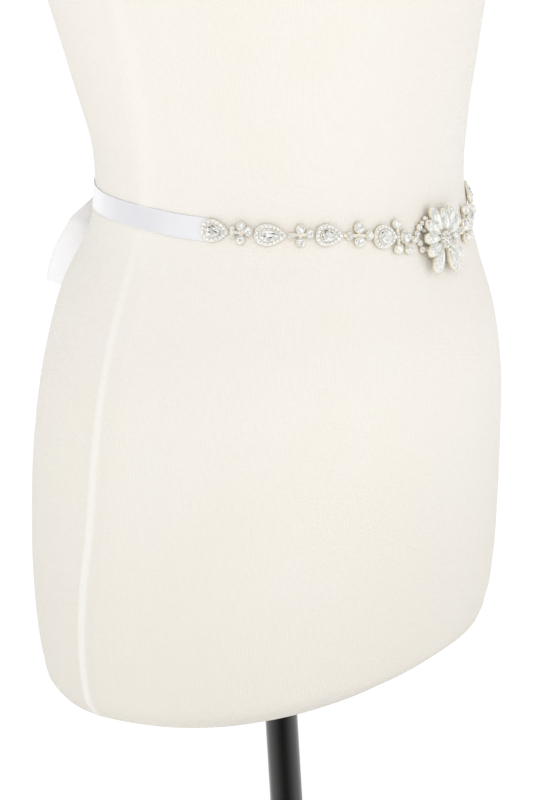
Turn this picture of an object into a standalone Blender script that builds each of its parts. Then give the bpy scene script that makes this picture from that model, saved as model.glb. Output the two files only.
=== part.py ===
"""Sash belt: satin ribbon with a rhinestone applique, tied in a bow round a padded dress form on a stand.

Metres, +Z up. The origin is the middle of the stand's underside. The form faces -Y, so the wearer's left
is +X. Tables are in millimetres, and their heights are measured from the form's waist.
"""

import math
from collections import namedtuple

import bmesh
import bpy
import numpy as np
from mathutils import Matrix, Vector

MM = 0.001
GAP = 0.0003

# Stand
BASE_RADIUS = 0.140
BASE_THICKNESS = 0.008
BASE_EDGE = 0.0015
COLLAR_RADIUS = 0.017
COLLAR_HEIGHT = 0.026
POLE_RADIUS = 0.0093
STAND_SEGMENTS = 64
POLE_SEGMENTS = 32

# Form
WAIST_HEIGHT = 0.470
FORM_SQUARENESS = 2.2
FORM_SEGMENTS = 48
FORM_RING_STEP = 0.017
FORM_LOWER_EDGE = -0.245
FORM_SHOULDER = 0.335
FORM_SHARP_ANGLE = math.radians(30)
ARMHOLE_HALF_WIDTH = 0.172
ARMHOLE_LEAN = math.radians(6)
ARMHOLE_LEVEL = 0.300

# Ribbon
RIBBON_WIDTH = 0.0127
RIBBON_WALL = 0.001
RIBBON_CLEARANCE = 0.0004
RIBBON_STEP = 0.008
KNOT_RIBBON_WIDTH = 0.0090
KNOT_PINCH_LENGTH = 0.030

# Bow
KNOT_HEIGHT = 0.016
KNOT_SIZE = (0.014, 0.010, 0.018)
KNOT_EDGE = 0.003
KNOT_STANDOFF = 0.0018
LOOP_CLEARANCE = 0.0026
LOOP_STEPS_PER_ROW = 3
TAIL_STEPS_PER_ROW = 3
TAIL_SLANT = 0.010

# Applique
APPLIQUE_CENTRE = -0.003
SETTING_CLEARANCE = 0.0008
GIRDLE_SHARE = 0.55
TABLE_SHARE = 0.6
LINK_WIDTH = 0.0018
LINK_LOW = 0.0011
LINK_HIGH = 0.0023
OUTLINE_POINTS = 18
ROUND_POINTS = 10

FormSection = namedtuple("FormSection", "height half_width front back")
FORM_SECTIONS = (
    FormSection(-266, 139, 85, 112),
    FormSection(-258, 146, 100, 117),
    FormSection(-245, 150, 107, 119),
    FormSection(-220, 154, 113, 120),
    FormSection(-190, 156, 117, 119),
    FormSection(-150, 155, 122, 116),
    FormSection(-110, 149, 127, 112),
    FormSection(-70, 138, 127, 105),
    FormSection(-35, 126, 121, 94),
    FormSection(0, 117, 117, 72),
    FormSection(40, 117, 122, 64),
    FormSection(80, 124, 130, 73),
    FormSection(120, 131, 138, 84),
    FormSection(160, 137, 146, 96),
    FormSection(200, 145, 150, 103),
    FormSection(240, 153, 142, 107),
    FormSection(275, 173, 124, 107),
    FormSection(305, 192, 108, 104),
    FormSection(335, 190, 94, 98),
    FormSection(352, 177, 84, 92),
    FormSection(366, 154, 75, 85),
    FormSection(379, 124, 67, 78),
    FormSection(391, 94, 60, 71),
    FormSection(402, 73, 54, 65),
    FormSection(416, 61, 50, 61),
    FormSection(436, 56, 48, 58),
    FormSection(468, 54, 46, 56),
)

# Along is measured round the form from the centre front, positive to the wearer's left.
BeltLine = namedtuple("BeltLine", "along height")
BELT_LINE = (
    BeltLine(-340, 20),
    BeltLine(-260, 19),
    BeltLine(-215, 16),
    BeltLine(-160, 7.5),
    BeltLine(-90, 0),
    BeltLine(-45, -8),
    BeltLine(-20, -13.5),
    BeltLine(0, -16.5),
    BeltLine(20, -17.5),
    BeltLine(48, -14.5),
    BeltLine(78, -7.5),
    BeltLine(110, -2),
    BeltLine(160, 6),
    BeltLine(215, 14),
    BeltLine(260, 18),
    BeltLine(340, 20),
)

# Distance is from the flower's middle. Taper 0 is an oval or a round, and more is a pear.
Stone = namedtuple("Stone", "distance lift length width taper top")
PEAR_PLATES = {
    "pear_outer": Stone(143.8, 0, 15.2, 12.2, 0.32, 4.2),
    "pear_second": Stone(114.4, -0.8, 17.2, 11.8, 0.32, 4.4),
    "pear_third": Stone(82.5, -0.3, 15.6, 11.8, 0.32, 4.4),
    "pear_inner": Stone(47.6, -0.2, 15.8, 12.8, 0.25, 4.8),
}
ROUND_CLUSTERS = {
    "cluster_outer": (
        Stone(134.2, 2.0, 3.0, 3.0, 0, 3.2),
        Stone(134.2, -2.0, 3.0, 3.0, 0, 3.2),
        Stone(129.7, 3.4, 5.0, 5.0, 0, 4.0),
        Stone(129.9, -3.8, 5.0, 5.0, 0, 4.0),
        Stone(125.9, 0.8, 5.2, 5.2, 0, 4.4),
    ),
    "cluster_second": (
        Stone(103.4, -1.2, 3.4, 3.4, 0, 3.6),
        Stone(98.5, 2.5, 5.0, 5.0, 0, 4.0),
        Stone(98.4, -4.4, 5.0, 5.0, 0, 4.0),
        Stone(93.4, 0.2, 4.8, 4.8, 0, 4.4),
    ),
    "cluster_third": (
        Stone(70.7, -0.4, 4.4, 4.4, 0, 3.8),
        Stone(64.9, 4.2, 6.0, 6.0, 0, 4.4),
        Stone(64.9, -3.0, 6.0, 6.0, 0, 4.4),
        Stone(58.6, 0.3, 5.0, 5.0, 0, 4.6),
    ),
    "cluster_inner": (
        Stone(39.2, 6.9, 5.8, 5.0, 0, 4.6),
        Stone(39.2, -6.7, 5.8, 5.0, 0, 4.6),
        Stone(33.4, 0.2, 7.0, 7.0, 0, 5.2),
        Stone(31.4, -6.4, 5.0, 5.0, 0, 4.4),
        Stone(25.8, -1.2, 3.6, 3.6, 0, 4.2),
        Stone(22.0, 2.2, 3.8, 3.8, 0, 3.1),
        Stone(20.2, -2.6, 3.8, 3.8, 0, 3.1),
    ),
}

# Links are flat bars behind the stones, from one place to another.
Link = namedtuple("Link", "from_distance from_lift to_distance to_lift")
CLUSTER_LINKS = {
    "cluster_outer": (
        Link(135.5, 0, 123.8, 0),
        Link(134.2, -2.6, 134.2, 2.6),
        Link(129.8, -4.6, 129.8, 4.6),
    ),
    "cluster_second": (
        Link(105.0, -0.6, 91.4, -0.2),
        Link(98.4, -5.2, 98.4, 3.6),
    ),
    "cluster_third": (
        Link(74.1, -0.2, 56.6, 0),
        Link(64.9, -5.0, 64.9, 5.0),
    ),
    "cluster_inner": (
        Link(39.1, 0, 20.4, 0),
        Link(38.2, -6.6, 38.2, 6.6),
        Link(31.8, -7.2, 31.8, 1.0),
        Link(21.2, -3.4, 21.2, 3.2),
    ),
}

# Angles are seen from the front, from the wearer's left and turning up.
Petal = namedtuple("Petal", "angle reach width top")
FLOWER_PETALS = (
    Petal(-128, 21.2, 7.4, 7.2),
    Petal(-57, 20.8, 7.4, 7.2),
    Petal(-28, 21.0, 6.4, 6.6),
    Petal(31, 22.6, 6.2, 6.8),
    Petal(56, 21.2, 6.2, 7.2),
    Petal(81, 17.4, 5.4, 6.6),
    Petal(122, 21.2, 6.8, 7.2),
    Petal(149, 20.4, 6.2, 7.0),
    Petal(174, 20.2, 5.8, 7.2),
    Petal(200, 19.2, 6.2, 7.2),
)
PETAL_START = 0.0054
PETAL_TAPER = 0.64
PETAL_LOW = 0.0034
FLOWER_SHIFT = -0.001
FLOWER_LIFT = -0.0017
FLOWER_PLATE_RADIUS = 0.0048
FLOWER_STONE_RADIUS = 0.0031
FLOWER_PLATE_TOP = 0.0060
FLOWER_STONE_TOP = 0.0080
FLOWER_SIDE_STONE = Stone(-13.4, -0.6, 6.4, 6.4, 0, 5.4)
FLOWER_SIDE_LINK = Link(-4.4, -0.6, -12.0, -0.6)

# Side is measured away from the middle of the back. Standing is the ribbon's turn, 0 flat on the form.
LoopPoint = namedtuple("LoopPoint", "side height width standing")
LOOP_PATH = (
    LoopPoint(8.0, 20.5, 7.0, 5),
    LoopPoint(17.0, 16.0, 9.5, 12),
    LoopPoint(27.0, 7.0, 12.2, 24),
    LoopPoint(36.0, -3.2, 12.7, 38),
    LoopPoint(42.5, -11.0, 12.7, 58),
    LoopPoint(45.2, -19.5, 12.7, 75),
    LoopPoint(45.2, -29.0, 12.7, 86),
    LoopPoint(43.8, -39.0, 12.7, 90),
    LoopPoint(41.8, -46.0, 12.7, 90),
    LoopPoint(38.2, -48.8, 12.7, 90),
    LoopPoint(34.4, -46.2, 12.7, 90),
    LoopPoint(32.4, -38.0, 12.7, 90),
    LoopPoint(31.0, -25.0, 12.7, 86),
    LoopPoint(27.5, -12.0, 12.7, 72),
    LoopPoint(21.5, -1.0, 12.0, 48),
    LoopPoint(15.0, 6.5, 9.5, 24),
    LoopPoint(8.0, 11.0, 7.0, 5),
)

TailPoint = namedtuple("TailPoint", "side height width standoff")
TAIL_PATHS = {
    "bow_tail_right": (
        TailPoint(-3.9, 6.2, 7.0, 2.4),
        TailPoint(-7.0, -8, 10.5, 2.0),
        TailPoint(-11.5, -30, 12.7, 1.2),
        TailPoint(-15.0, -60, 12.7, 1.6),
        TailPoint(-20.0, -95, 12.7, 3.2),
        TailPoint(-22.0, -130, 12.7, 2.2),
        TailPoint(-27.0, -165, 12.7, 2.6),
        TailPoint(-30.0, -186, 12.7, 4.4),
    ),
    "bow_tail_left": (
        TailPoint(3.9, 6.2, 7.0, 2.4),
        TailPoint(6.5, -8, 10.5, 1.6),
        TailPoint(9.0, -30, 12.7, 2.0),
        TailPoint(14.0, -60, 12.7, 3.0),
        TailPoint(15.5, -95, 12.7, 1.6),
        TailPoint(20.0, -130, 12.7, 2.8),
        TailPoint(24.0, -165, 12.7, 4.2),
    ),
}

Finish = namedtuple("Finish", "colour roughness metallic")
FINISHES = {
    "form_jersey": Finish((0.90, 0.87, 0.81), 0.90, 0.0),
    "ribbon_satin": Finish((0.92, 0.92, 0.94), 0.35, 0.0),
    "crystal_setting": Finish((0.78, 0.78, 0.76), 0.15, 0.85),
    "stand_black": Finish((0.01, 0.01, 0.012), 0.22, 0.1),
}


class SmoothTable:
    """Reads a table of named columns at any place between its rows, along a smooth curve."""

    def __init__(self, rows):
        values = np.array(rows, float) * MM
        self.keys = values[:, 0]
        self.columns = values[:, 1:]
        self.slopes = np.gradient(self.columns, self.keys, axis=0)

    def at(self, key):
        """The other columns' values at a value of the first column."""
        key = min(max(key, self.keys[0]), self.keys[-1])
        row = min(max(int(np.searchsorted(self.keys, key)) - 1, 0), len(self.keys) - 2)
        step = self.keys[row + 1] - self.keys[row]
        part = (key - self.keys[row]) / step
        near, far = self.columns[row], self.columns[row + 1]
        near_slope, far_slope = self.slopes[row] * step, self.slopes[row + 1] * step
        blend = part * part * (3 - 2 * part)
        eased = near + (far - near) * blend
        return eased + near_slope * part * (1 - part) ** 2 - far_slope * part**2 * (1 - part)


FORM = SmoothTable(FORM_SECTIONS)
BELT = SmoothTable(BELT_LINE)


def rounded(value):
    """A sine or cosine bent to the form's squareness."""
    return math.copysign(abs(value) ** (2 / FORM_SQUARENESS), value)


def form_point(turn, height):
    """Point on the form, at a turn from the centre front that is positive to the wearer's left."""
    half_width, front, back = FORM.at(height)
    depth = front if math.cos(turn) > 0 else back
    x = half_width * rounded(math.sin(turn))
    y = -depth * rounded(math.cos(turn))
    return Vector((x, y, WAIST_HEIGHT + height))


def form_outward(turn, height):
    """Direction that points straight out of the form."""
    small = 0.5 * MM
    half_width, front, back = FORM.at(height)
    widening = (FORM.at(height + small) - FORM.at(height - small)) / (2 * small)
    in_front = math.cos(turn) > 0
    depth = front if in_front else back
    deepening = widening[1] if in_front else widening[2]
    across, deep = abs(math.sin(turn)), abs(math.cos(turn))
    power = 2 * (FORM_SQUARENESS - 1) / FORM_SQUARENESS
    x = math.copysign(across**power / half_width, math.sin(turn))
    y = -math.copysign(deep**power / depth, math.cos(turn))
    z = -(across**2 * widening[0] / half_width + deep**2 * deepening / depth)
    return Vector((x, y, z)).normalized()


def walk_round_form(side, steps=600):
    """Turns and the distances along the belt line that they reach, on one side of the centre front."""
    turns = [side * math.pi * i / steps for i in range(steps + 1)]
    reached = [0.0]
    here = form_point(0, BELT.at(0)[0])
    for turn in turns[1:]:
        there = form_point(turn, BELT.at(reached[-1])[0])
        reached.append(reached[-1] + side * (there - here).length)
        here = there
    return turns, reached


LEFT_TURNS, LEFT_REACHED = walk_round_form(1)
RIGHT_TURNS, RIGHT_REACHED = walk_round_form(-1)
HALF_GIRTH = min(LEFT_REACHED[-1], -RIGHT_REACHED[-1])


def belt_turn(along):
    """Turn from the centre front at a distance along the belt line."""
    if along >= 0:
        return float(np.interp(along, LEFT_REACHED, LEFT_TURNS))
    return -float(np.interp(-along, [-r for r in RIGHT_REACHED], [-t for t in RIGHT_TURNS]))


def belt_point(along, lift, out):
    """Point on the form, lifted above the belt line and moved out of the form."""
    height = float(BELT.at(along)[0]) + lift
    turn = belt_turn(along)
    return form_point(turn, height) + form_outward(turn, height) * out


def belt_seat(along, lift=0.0):
    """Placement on the form: X to the wearer's left along the belt, Y up, Z out of the form."""
    small = MM
    height = float(BELT.at(along)[0]) + lift
    outward = form_outward(belt_turn(along), height)
    leftward = belt_point(along + small, lift, 0) - belt_point(along - small, lift, 0)
    leftward = (leftward - outward * leftward.dot(outward)).normalized()
    upward = outward.cross(leftward)
    seat = Matrix((leftward, upward, outward)).transposed().to_4x4()
    seat.translation = belt_point(along, lift, 0)
    return seat


def back_turn(sideways, height):
    """Turn at which the back of the form is that far to the side."""
    half_width = FORM.at(height)[0]
    across = (abs(sideways) / half_width) ** (FORM_SQUARENESS / 2)
    return math.copysign(math.pi - math.asin(across), sideways)


def make_finishes():
    """One material for each finish."""
    materials = {}
    for name, finish in FINISHES.items():
        material = bpy.data.materials.new(name)
        material.use_nodes = True
        shader = material.node_tree.nodes["Principled BSDF"]
        shader.inputs["Base Color"].default_value = (*finish.colour, 1)
        shader.inputs["Roughness"].default_value = finish.roughness
        shader.inputs["Metallic"].default_value = finish.metallic
        materials[name] = material
    return materials


def add_object(name, shape, material, smooth_angle=math.radians(35)):
    """Turns a bmesh into a named object with its finish."""
    bmesh.ops.recalc_face_normals(shape, faces=shape.faces)
    mesh = bpy.data.meshes.new(name)
    shape.to_mesh(mesh)
    shape.free()
    mesh.shade_smooth()
    mesh.set_sharp_from_angle(angle=smooth_angle)
    mesh.materials.append(material)
    made = bpy.data.objects.new(name, mesh)
    bpy.context.scene.collection.objects.link(made)
    return made


def add_ring(shape, points):
    """A closed ring of vertices and its edges."""
    corners = [shape.verts.new(p) for p in points]
    return [shape.edges.new((a, b)) for a, b in zip(corners, corners[1:] + corners[:1])]


def lofted(rings):
    """A closed solid through rings that have the same number of points."""
    shape = bmesh.new()
    loops = [add_ring(shape, ring) for ring in rings]
    for lower, upper in zip(loops, loops[1:]):
        bmesh.ops.bridge_loops(shape, edges=lower + upper)
    bmesh.ops.holes_fill(shape, edges=loops[0] + loops[-1])
    return shape


def turned_ring(profile, segments):
    """A closed profile of radius and height, spun round the vertical axis."""
    shape = bmesh.new()
    edges = add_ring(shape, [(radius, 0, height) for radius, height in profile])
    corners = list({v for e in edges for v in e.verts})
    bmesh.ops.spin(
        shape,
        geom=corners + edges,
        axis=(0, 0, 1),
        cent=(0, 0, 0),
        angle=math.tau,
        steps=segments,
        use_merge=True,
    )
    bmesh.ops.remove_doubles(shape, verts=shape.verts, dist=1e-6)
    return shape


def circle(radius, height, segments):
    """Points of a level circle round the vertical axis."""
    angles = [math.tau * i / segments for i in range(segments)]
    return [(radius * math.cos(a), radius * math.sin(a), height) for a in angles]


def build_stand(materials):
    """A round plate, a collar on it, and a pole up to the form."""
    black = materials["stand_black"]
    plate = lofted(
        [
            circle(BASE_RADIUS, 0, STAND_SEGMENTS),
            circle(BASE_RADIUS, BASE_THICKNESS - BASE_EDGE, STAND_SEGMENTS),
            circle(BASE_RADIUS - BASE_EDGE, BASE_THICKNESS, STAND_SEGMENTS),
        ]
    )
    add_object("stand_base", plate, black)

    collar_foot = BASE_THICKNESS + GAP
    collar_bore = POLE_RADIUS + GAP
    collar = turned_ring(
        [
            (collar_bore, collar_foot),
            (COLLAR_RADIUS, collar_foot),
            (COLLAR_RADIUS, collar_foot + COLLAR_HEIGHT - BASE_EDGE),
            (COLLAR_RADIUS - BASE_EDGE, collar_foot + COLLAR_HEIGHT),
            (collar_bore, collar_foot + COLLAR_HEIGHT),
        ],
        POLE_SEGMENTS,
    )
    add_object("stand_collar", collar, black)

    form_bottom = WAIST_HEIGHT + FORM_SECTIONS[0].height * MM
    pole = lofted(
        [
            circle(POLE_RADIUS, BASE_THICKNESS + GAP, POLE_SEGMENTS),
            circle(POLE_RADIUS, form_bottom - GAP, POLE_SEGMENTS),
        ]
    )
    add_object("stand_pole", pole, black)


def ring_heights():
    """Heights of the form's rings: even steps between its edges, and the table's rows above and below."""
    steps = round((FORM_SHOULDER - FORM_LOWER_EDGE) / FORM_RING_STEP)
    even = [FORM_LOWER_EDGE + (FORM_SHOULDER - FORM_LOWER_EDGE) * i / steps for i in range(steps + 1)]
    rows = [section.height * MM for section in FORM_SECTIONS]
    lower = [height for height in rows if height <= FORM_LOWER_EDGE]
    upper = [height for height in rows if height >= FORM_SHOULDER]
    halves = [(a + b) / 2 for part in (lower, upper) for a, b in zip(part, part[1:])]
    return sorted({round(height, 6) for height in even + lower + upper + halves})


def build_form(materials):
    """The torso, closed at the neck and below the hips, and cut flat where the arms would start."""
    turns = [math.tau * i / FORM_SEGMENTS for i in range(FORM_SEGMENTS)]
    rings = [[form_point(turn, height) for turn in turns] for height in ring_heights()]
    shape = lofted(rings)
    for side in (-1, 1):
        cut = bmesh.ops.bisect_plane(
            shape,
            geom=shape.verts[:] + shape.edges[:] + shape.faces[:],
            plane_co=(side * ARMHOLE_HALF_WIDTH, 0, WAIST_HEIGHT + ARMHOLE_LEVEL),
            plane_no=(side * math.cos(ARMHOLE_LEAN), 0, math.sin(ARMHOLE_LEAN)),
            clear_outer=True,
        )
        rim = [e for e in cut["geom_cut"] if isinstance(e, bmesh.types.BMEdge)]
        bmesh.ops.holes_fill(shape, edges=rim)
    add_object("form_torso", shape, materials["form_jersey"], FORM_SHARP_ANGLE)


def ribbon_strip(name, edges, material, offset):
    """A strip through pairs of points, thickened to the ribbon's wall."""
    shape = bmesh.new()
    ends = [shape.verts.new(p) for p in edges[0]]
    edge = shape.edges.new(ends)
    for first, second in edges[1:]:
        grown = bmesh.ops.extrude_edge_only(shape, edges=[edge])["geom"]
        corners = [g for g in grown if isinstance(g, bmesh.types.BMVert)]
        edge = next(g for g in grown if isinstance(g, bmesh.types.BMEdge))
        corners.sort(key=lambda v: (v.co - ends[0].co).length)
        ends = corners
        ends[0].co, ends[1].co = first, second
    bmesh.ops.recalc_face_normals(shape, faces=shape.faces)
    made = add_object(name, shape, material)
    wall = made.modifiers.new("ribbon wall", "SOLIDIFY")
    wall.thickness = RIBBON_WALL
    wall.offset = offset
    wall.use_even_offset = True
    return made


def build_belt_ribbon(name, side, materials):
    """The flat ribbon from the applique's end to the knot, with its end pinched into the knot."""
    plate = PEAR_PLATES["pear_outer"]
    applique_end = (plate.distance + plate.length / 2) * MM + GAP
    start = side * applique_end + APPLIQUE_CENTRE
    end = side * (HALF_GIRTH - KNOT_SIZE[0] / 2 - GAP)
    steps = round(abs(end - start) / RIBBON_STEP)
    edges = []
    for i in range(steps + 1):
        along = start + (end - start) * i / steps
        pinch = max(0.0, 1 - abs(end - along) / KNOT_PINCH_LENGTH) ** 2
        width = RIBBON_WIDTH + (KNOT_RIBBON_WIDTH - RIBBON_WIDTH) * pinch
        out = RIBBON_CLEARANCE + RIBBON_WALL / 2
        edges.append((belt_point(along, -width / 2, out), belt_point(along, width / 2, out)))
    ribbon_strip(name, edges, materials["ribbon_satin"], 0)


def back_frame(side, sideways, height):
    """Point on the back of the form and its outward direction."""
    turn = back_turn(side * sideways, height)
    return form_point(turn, height), form_outward(turn, height)


def smooth_rows(rows, steps_per_row):
    """The rows of a path with more between them, along a smooth curve through each column."""
    values = np.array(rows, float)
    keys = np.arange(len(rows))
    slopes = np.gradient(values, axis=0)
    smoothed = []
    for i in range((len(rows) - 1) * steps_per_row + 1):
        row = min(i // steps_per_row, len(rows) - 2)
        part = i / steps_per_row - keys[row]
        blend = part * part * (3 - 2 * part)
        eased = values[row] + (values[row + 1] - values[row]) * blend
        bend = slopes[row] * part * (1 - part) ** 2 - slopes[row + 1] * part**2 * (1 - part)
        smoothed.append(type(rows[0])(*(eased + bend)))
    return smoothed


def build_bow_loop(name, side, materials):
    """A drooping loop: the ribbon leaves the knot flat, then stands on its edge against the form."""
    path = smooth_rows(LOOP_PATH, LOOP_STEPS_PER_ROW)
    frames = [back_frame(side, p.side * MM, p.height * MM) for p in path]
    edges = []
    for i, (row, (point, outward)) in enumerate(zip(path, frames)):
        before, after = frames[max(i - 1, 0)][0], frames[min(i + 1, len(path) - 1)][0]
        heading = (after - before).normalized()
        flat = outward.cross(heading).normalized() * -side
        standing = math.radians(row.standing)
        half = (flat * math.cos(standing) + outward * math.sin(standing)) * row.width * MM / 2
        lift = LOOP_CLEARANCE + row.width * MM / 2 * math.sin(standing)
        middle = point + outward * lift
        edges.append((middle - half, middle + half))
    ribbon_strip(name, edges, materials["ribbon_satin"], 0)


def build_bow_tail(name, rows, materials):
    """A tail that hangs down the back and ends in a slanting cut."""
    path = smooth_rows(rows, TAIL_STEPS_PER_ROW)
    side = 1 if rows[0].side > 0 else -1
    edges = []
    for i, row in enumerate(path):
        slant = TAIL_SLANT * max(0.0, 1 - (len(path) - 1 - i) / 2) / 2
        height, sideways, half = row.height * MM, row.side * MM, row.width * MM / 2
        pair = []
        for across in (-half, half):
            lean = slant if across * side > 0 else -slant
            turn = back_turn(sideways + across, height + lean)
            point = form_point(turn, height + lean)
            pair.append(point + form_outward(turn, height + lean) * row.standoff * MM)
        edges.append(tuple(pair))
    ribbon_strip(name, edges, materials["ribbon_satin"], 0)


def build_knot(materials):
    """The wrapped knot at the centre back."""
    width, depth, tall = KNOT_SIZE
    point, outward = back_frame(1, 0.0, KNOT_HEIGHT)
    upward = Vector((1, 0, 0)).cross(outward).normalized()
    turned = Matrix((outward.cross(upward), outward, upward)).transposed().to_4x4()
    turned.translation = point + outward * (KNOT_STANDOFF + depth / 2)
    shape = bmesh.new()
    bmesh.ops.create_cube(shape, size=1)
    bmesh.ops.scale(shape, vec=(width, depth, tall), verts=shape.verts)
    bmesh.ops.bevel(
        shape,
        geom=shape.edges[:],
        offset=KNOT_EDGE,
        affect="EDGES",
        segments=3,
        profile=0.5,
        material=-1,
    )
    bmesh.ops.transform(shape, matrix=turned, verts=shape.verts)
    add_object("bow_knot", shape, materials["ribbon_satin"])


def stone_outline(length, width, taper, points):
    """Outline of a stone: an oval, or a pear whose pointed end is at +X."""
    angles = [math.tau * (i + 0.5) / points for i in range(points)]
    shares = [math.sin(a) * ((1 - math.cos(a)) / 2) ** taper for a in angles]
    widest = max(shares)
    return [(length / 2 * math.cos(a), width / 2 * s / widest) for a, s in zip(angles, shares)]


def stone_rings(outline, low, top):
    """Rings of a set stone: a straight setting, then a crown that narrows to a flat table."""
    girdle = low + (top - low) * GIRDLE_SHARE
    levels = ((1, low), (1, girdle), (TABLE_SHARE, top))
    return [[(x * share, y * share, height) for x, y in outline] for share, height in levels]


def seated_stone(stone, side, points):
    """A stone of the applique on one side of the flower, its pointed end towards the flower."""
    outline = stone_outline(stone.length * MM, stone.width * MM, stone.taper, points)
    outline = [(-side * x, y) for x, y in outline]
    shape = lofted(stone_rings(outline, SETTING_CLEARANCE, stone.top * MM))
    along = APPLIQUE_CENTRE + side * stone.distance * MM
    seat = belt_seat(along, stone.lift * MM)
    bmesh.ops.transform(shape, matrix=seat, verts=shape.verts)
    return shape


def add_link(shape, link, side):
    """A flat bar that follows the form behind the stones."""
    start = Vector((link.from_distance, link.from_lift)) * MM
    end = Vector((link.to_distance, link.to_lift)) * MM
    across = (end - start).normalized().orthogonal() * LINK_WIDTH / 2
    steps = max(1, round((end - start).length / (6 * MM)))
    rings = []
    for i in range(steps + 1):
        middle = start.lerp(end, i / steps)
        ring = []
        for sign, out in ((-1, LINK_LOW), (1, LINK_LOW), (1, LINK_HIGH), (-1, LINK_HIGH)):
            place = middle + across * sign
            ring.append(belt_point(APPLIQUE_CENTRE + side * place.x, place.y, out))
        rings.append(ring)
    corners = [[shape.verts.new(p) for p in ring] for ring in rings]
    for lower, upper in zip(corners, corners[1:]):
        for a in range(4):
            b = (a + 1) % 4
            shape.faces.new((lower[a], lower[b], upper[b], upper[a]))
    shape.faces.new(corners[0])
    shape.faces.new(corners[-1])


def merge_into(shape, other):
    """Copies another bmesh into this one."""
    mesh = bpy.data.meshes.new("passing")
    other.to_mesh(mesh)
    shape.from_mesh(mesh)
    bpy.data.meshes.remove(mesh)
    other.free()


def fuse(target, cutter_name, shape, material):
    """Joins a shape to an object with a Boolean, through a hidden guide."""
    guide = add_object(cutter_name, shape, material)
    guide.hide_render = True
    guide.display_type = "WIRE"
    union = target.modifiers.new("join " + cutter_name, "BOOLEAN")
    union.operation = "UNION"
    union.solver = "EXACT"
    union.object = guide
    guide.hide_set(True)


def build_cluster(name, stones, links, side, materials):
    """Round stones held by flat bars, as one soldered piece."""
    setting = materials["crystal_setting"]
    spine = bmesh.new()
    add_link(spine, links[0], side)
    cluster = add_object(name, spine, setting)
    for i, link in enumerate(links[1:]):
        bar = bmesh.new()
        add_link(bar, link, side)
        fuse(cluster, f"{name}_bar_{i + 1}", bar, setting)
    crowd = bmesh.new()
    for stone in stones:
        merge_into(crowd, seated_stone(stone, side, ROUND_POINTS))
    fuse(cluster, f"{name}_stones", crowd, setting)


def build_petal(name, petal, seat, materials):
    """A raised pear stone in the flower's plane, which points at the flower's middle."""
    length = petal.reach * MM - PETAL_START
    middle = PETAL_START + length / 2
    angle = math.radians(petal.angle)
    outline = stone_outline(length, petal.width * MM, PETAL_TAPER, OUTLINE_POINTS)
    shape = lofted(stone_rings(outline, PETAL_LOW, petal.top * MM))
    turned = Matrix.Rotation(angle + math.pi, 4, "Z")
    turned.translation = Vector((math.cos(angle), math.sin(angle), 0)) * middle
    bmesh.ops.transform(shape, matrix=seat @ turned, verts=shape.verts)
    add_object(name, shape, materials["crystal_setting"])


def build_flower(materials):
    """The centre flower: a raised round stone, pear stones round it, and one round stone beside it."""
    setting = materials["crystal_setting"]
    seat = belt_seat(APPLIQUE_CENTRE + FLOWER_SHIFT, FLOWER_LIFT)
    levels = (
        (FLOWER_PLATE_RADIUS, SETTING_CLEARANCE),
        (FLOWER_PLATE_RADIUS, FLOWER_PLATE_TOP - 0.001),
        (FLOWER_PLATE_RADIUS - 0.001, FLOWER_PLATE_TOP),
        (FLOWER_STONE_RADIUS, FLOWER_PLATE_TOP),
        (FLOWER_STONE_RADIUS, FLOWER_STONE_TOP - 0.0012),
        (FLOWER_STONE_RADIUS * TABLE_SHARE, FLOWER_STONE_TOP),
    )
    centre = lofted([circle(radius, height, OUTLINE_POINTS) for radius, height in levels])
    bmesh.ops.transform(centre, matrix=seat, verts=centre.verts)
    add_object("flower_centre", centre, setting)
    for i, petal in enumerate(FLOWER_PETALS):
        build_petal(f"flower_petal_{i + 1:02d}", petal, seat, materials)

    link = bmesh.new()
    add_link(link, FLOWER_SIDE_LINK, -1)
    side_stone = add_object("flower_side_stone", link, setting)
    stone = seated_stone(FLOWER_SIDE_STONE, -1, ROUND_POINTS)
    fuse(side_stone, "flower_side_stone_crown", stone, setting)


def build_applique(materials):
    """Pear plates and clusters of round stones, in turn, on both sides of the flower."""
    setting = materials["crystal_setting"]
    for side_name, side in (("right", -1), ("left", 1)):
        for name, stone in PEAR_PLATES.items():
            plate = seated_stone(stone, side, OUTLINE_POINTS)
            add_object(f"{name}_{side_name}", plate, setting)
        for name, stones in ROUND_CLUSTERS.items():
            build_cluster(f"{name}_{side_name}", stones, CLUSTER_LINKS[name], side, materials)


def build_bow(materials):
    """The knot, its two loops and its two tails."""
    build_knot(materials)
    build_bow_loop("bow_loop_right", -1, materials)
    build_bow_loop("bow_loop_left", 1, materials)
    for name, rows in TAIL_PATHS.items():
        build_bow_tail(name, rows, materials)


def main():
    """Clears the scene and builds every piece."""
    for old in list(bpy.data.objects):
        bpy.data.objects.remove(old)
    materials = make_finishes()
    build_stand(materials)
    build_form(materials)
    build_belt_ribbon("ribbon_right", -1, materials)
    build_belt_ribbon("ribbon_left", 1, materials)
    build_bow(materials)
    build_applique(materials)
    build_flower(materials)


main()
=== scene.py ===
"""Looks of the sash belt and the padded dress form that wears it.

Metres, +Z up, in the frame's own axes: the form faces -Y and the wearer's left is +X. Tables are in
millimetres, and their heights are measured from the form's waist.
"""

from __future__ import annotations

import logging
import math
import random
from collections import namedtuple
from collections.abc import Callable, Sequence
from dataclasses import dataclass, field
from enum import Enum

import bmesh
import bpy
import numpy as np
from bmesh.types import BMesh, BMLayerItem
from bpy.types import Material, Node, NodeSocket, Object
from mathutils import Matrix, Vector


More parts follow.
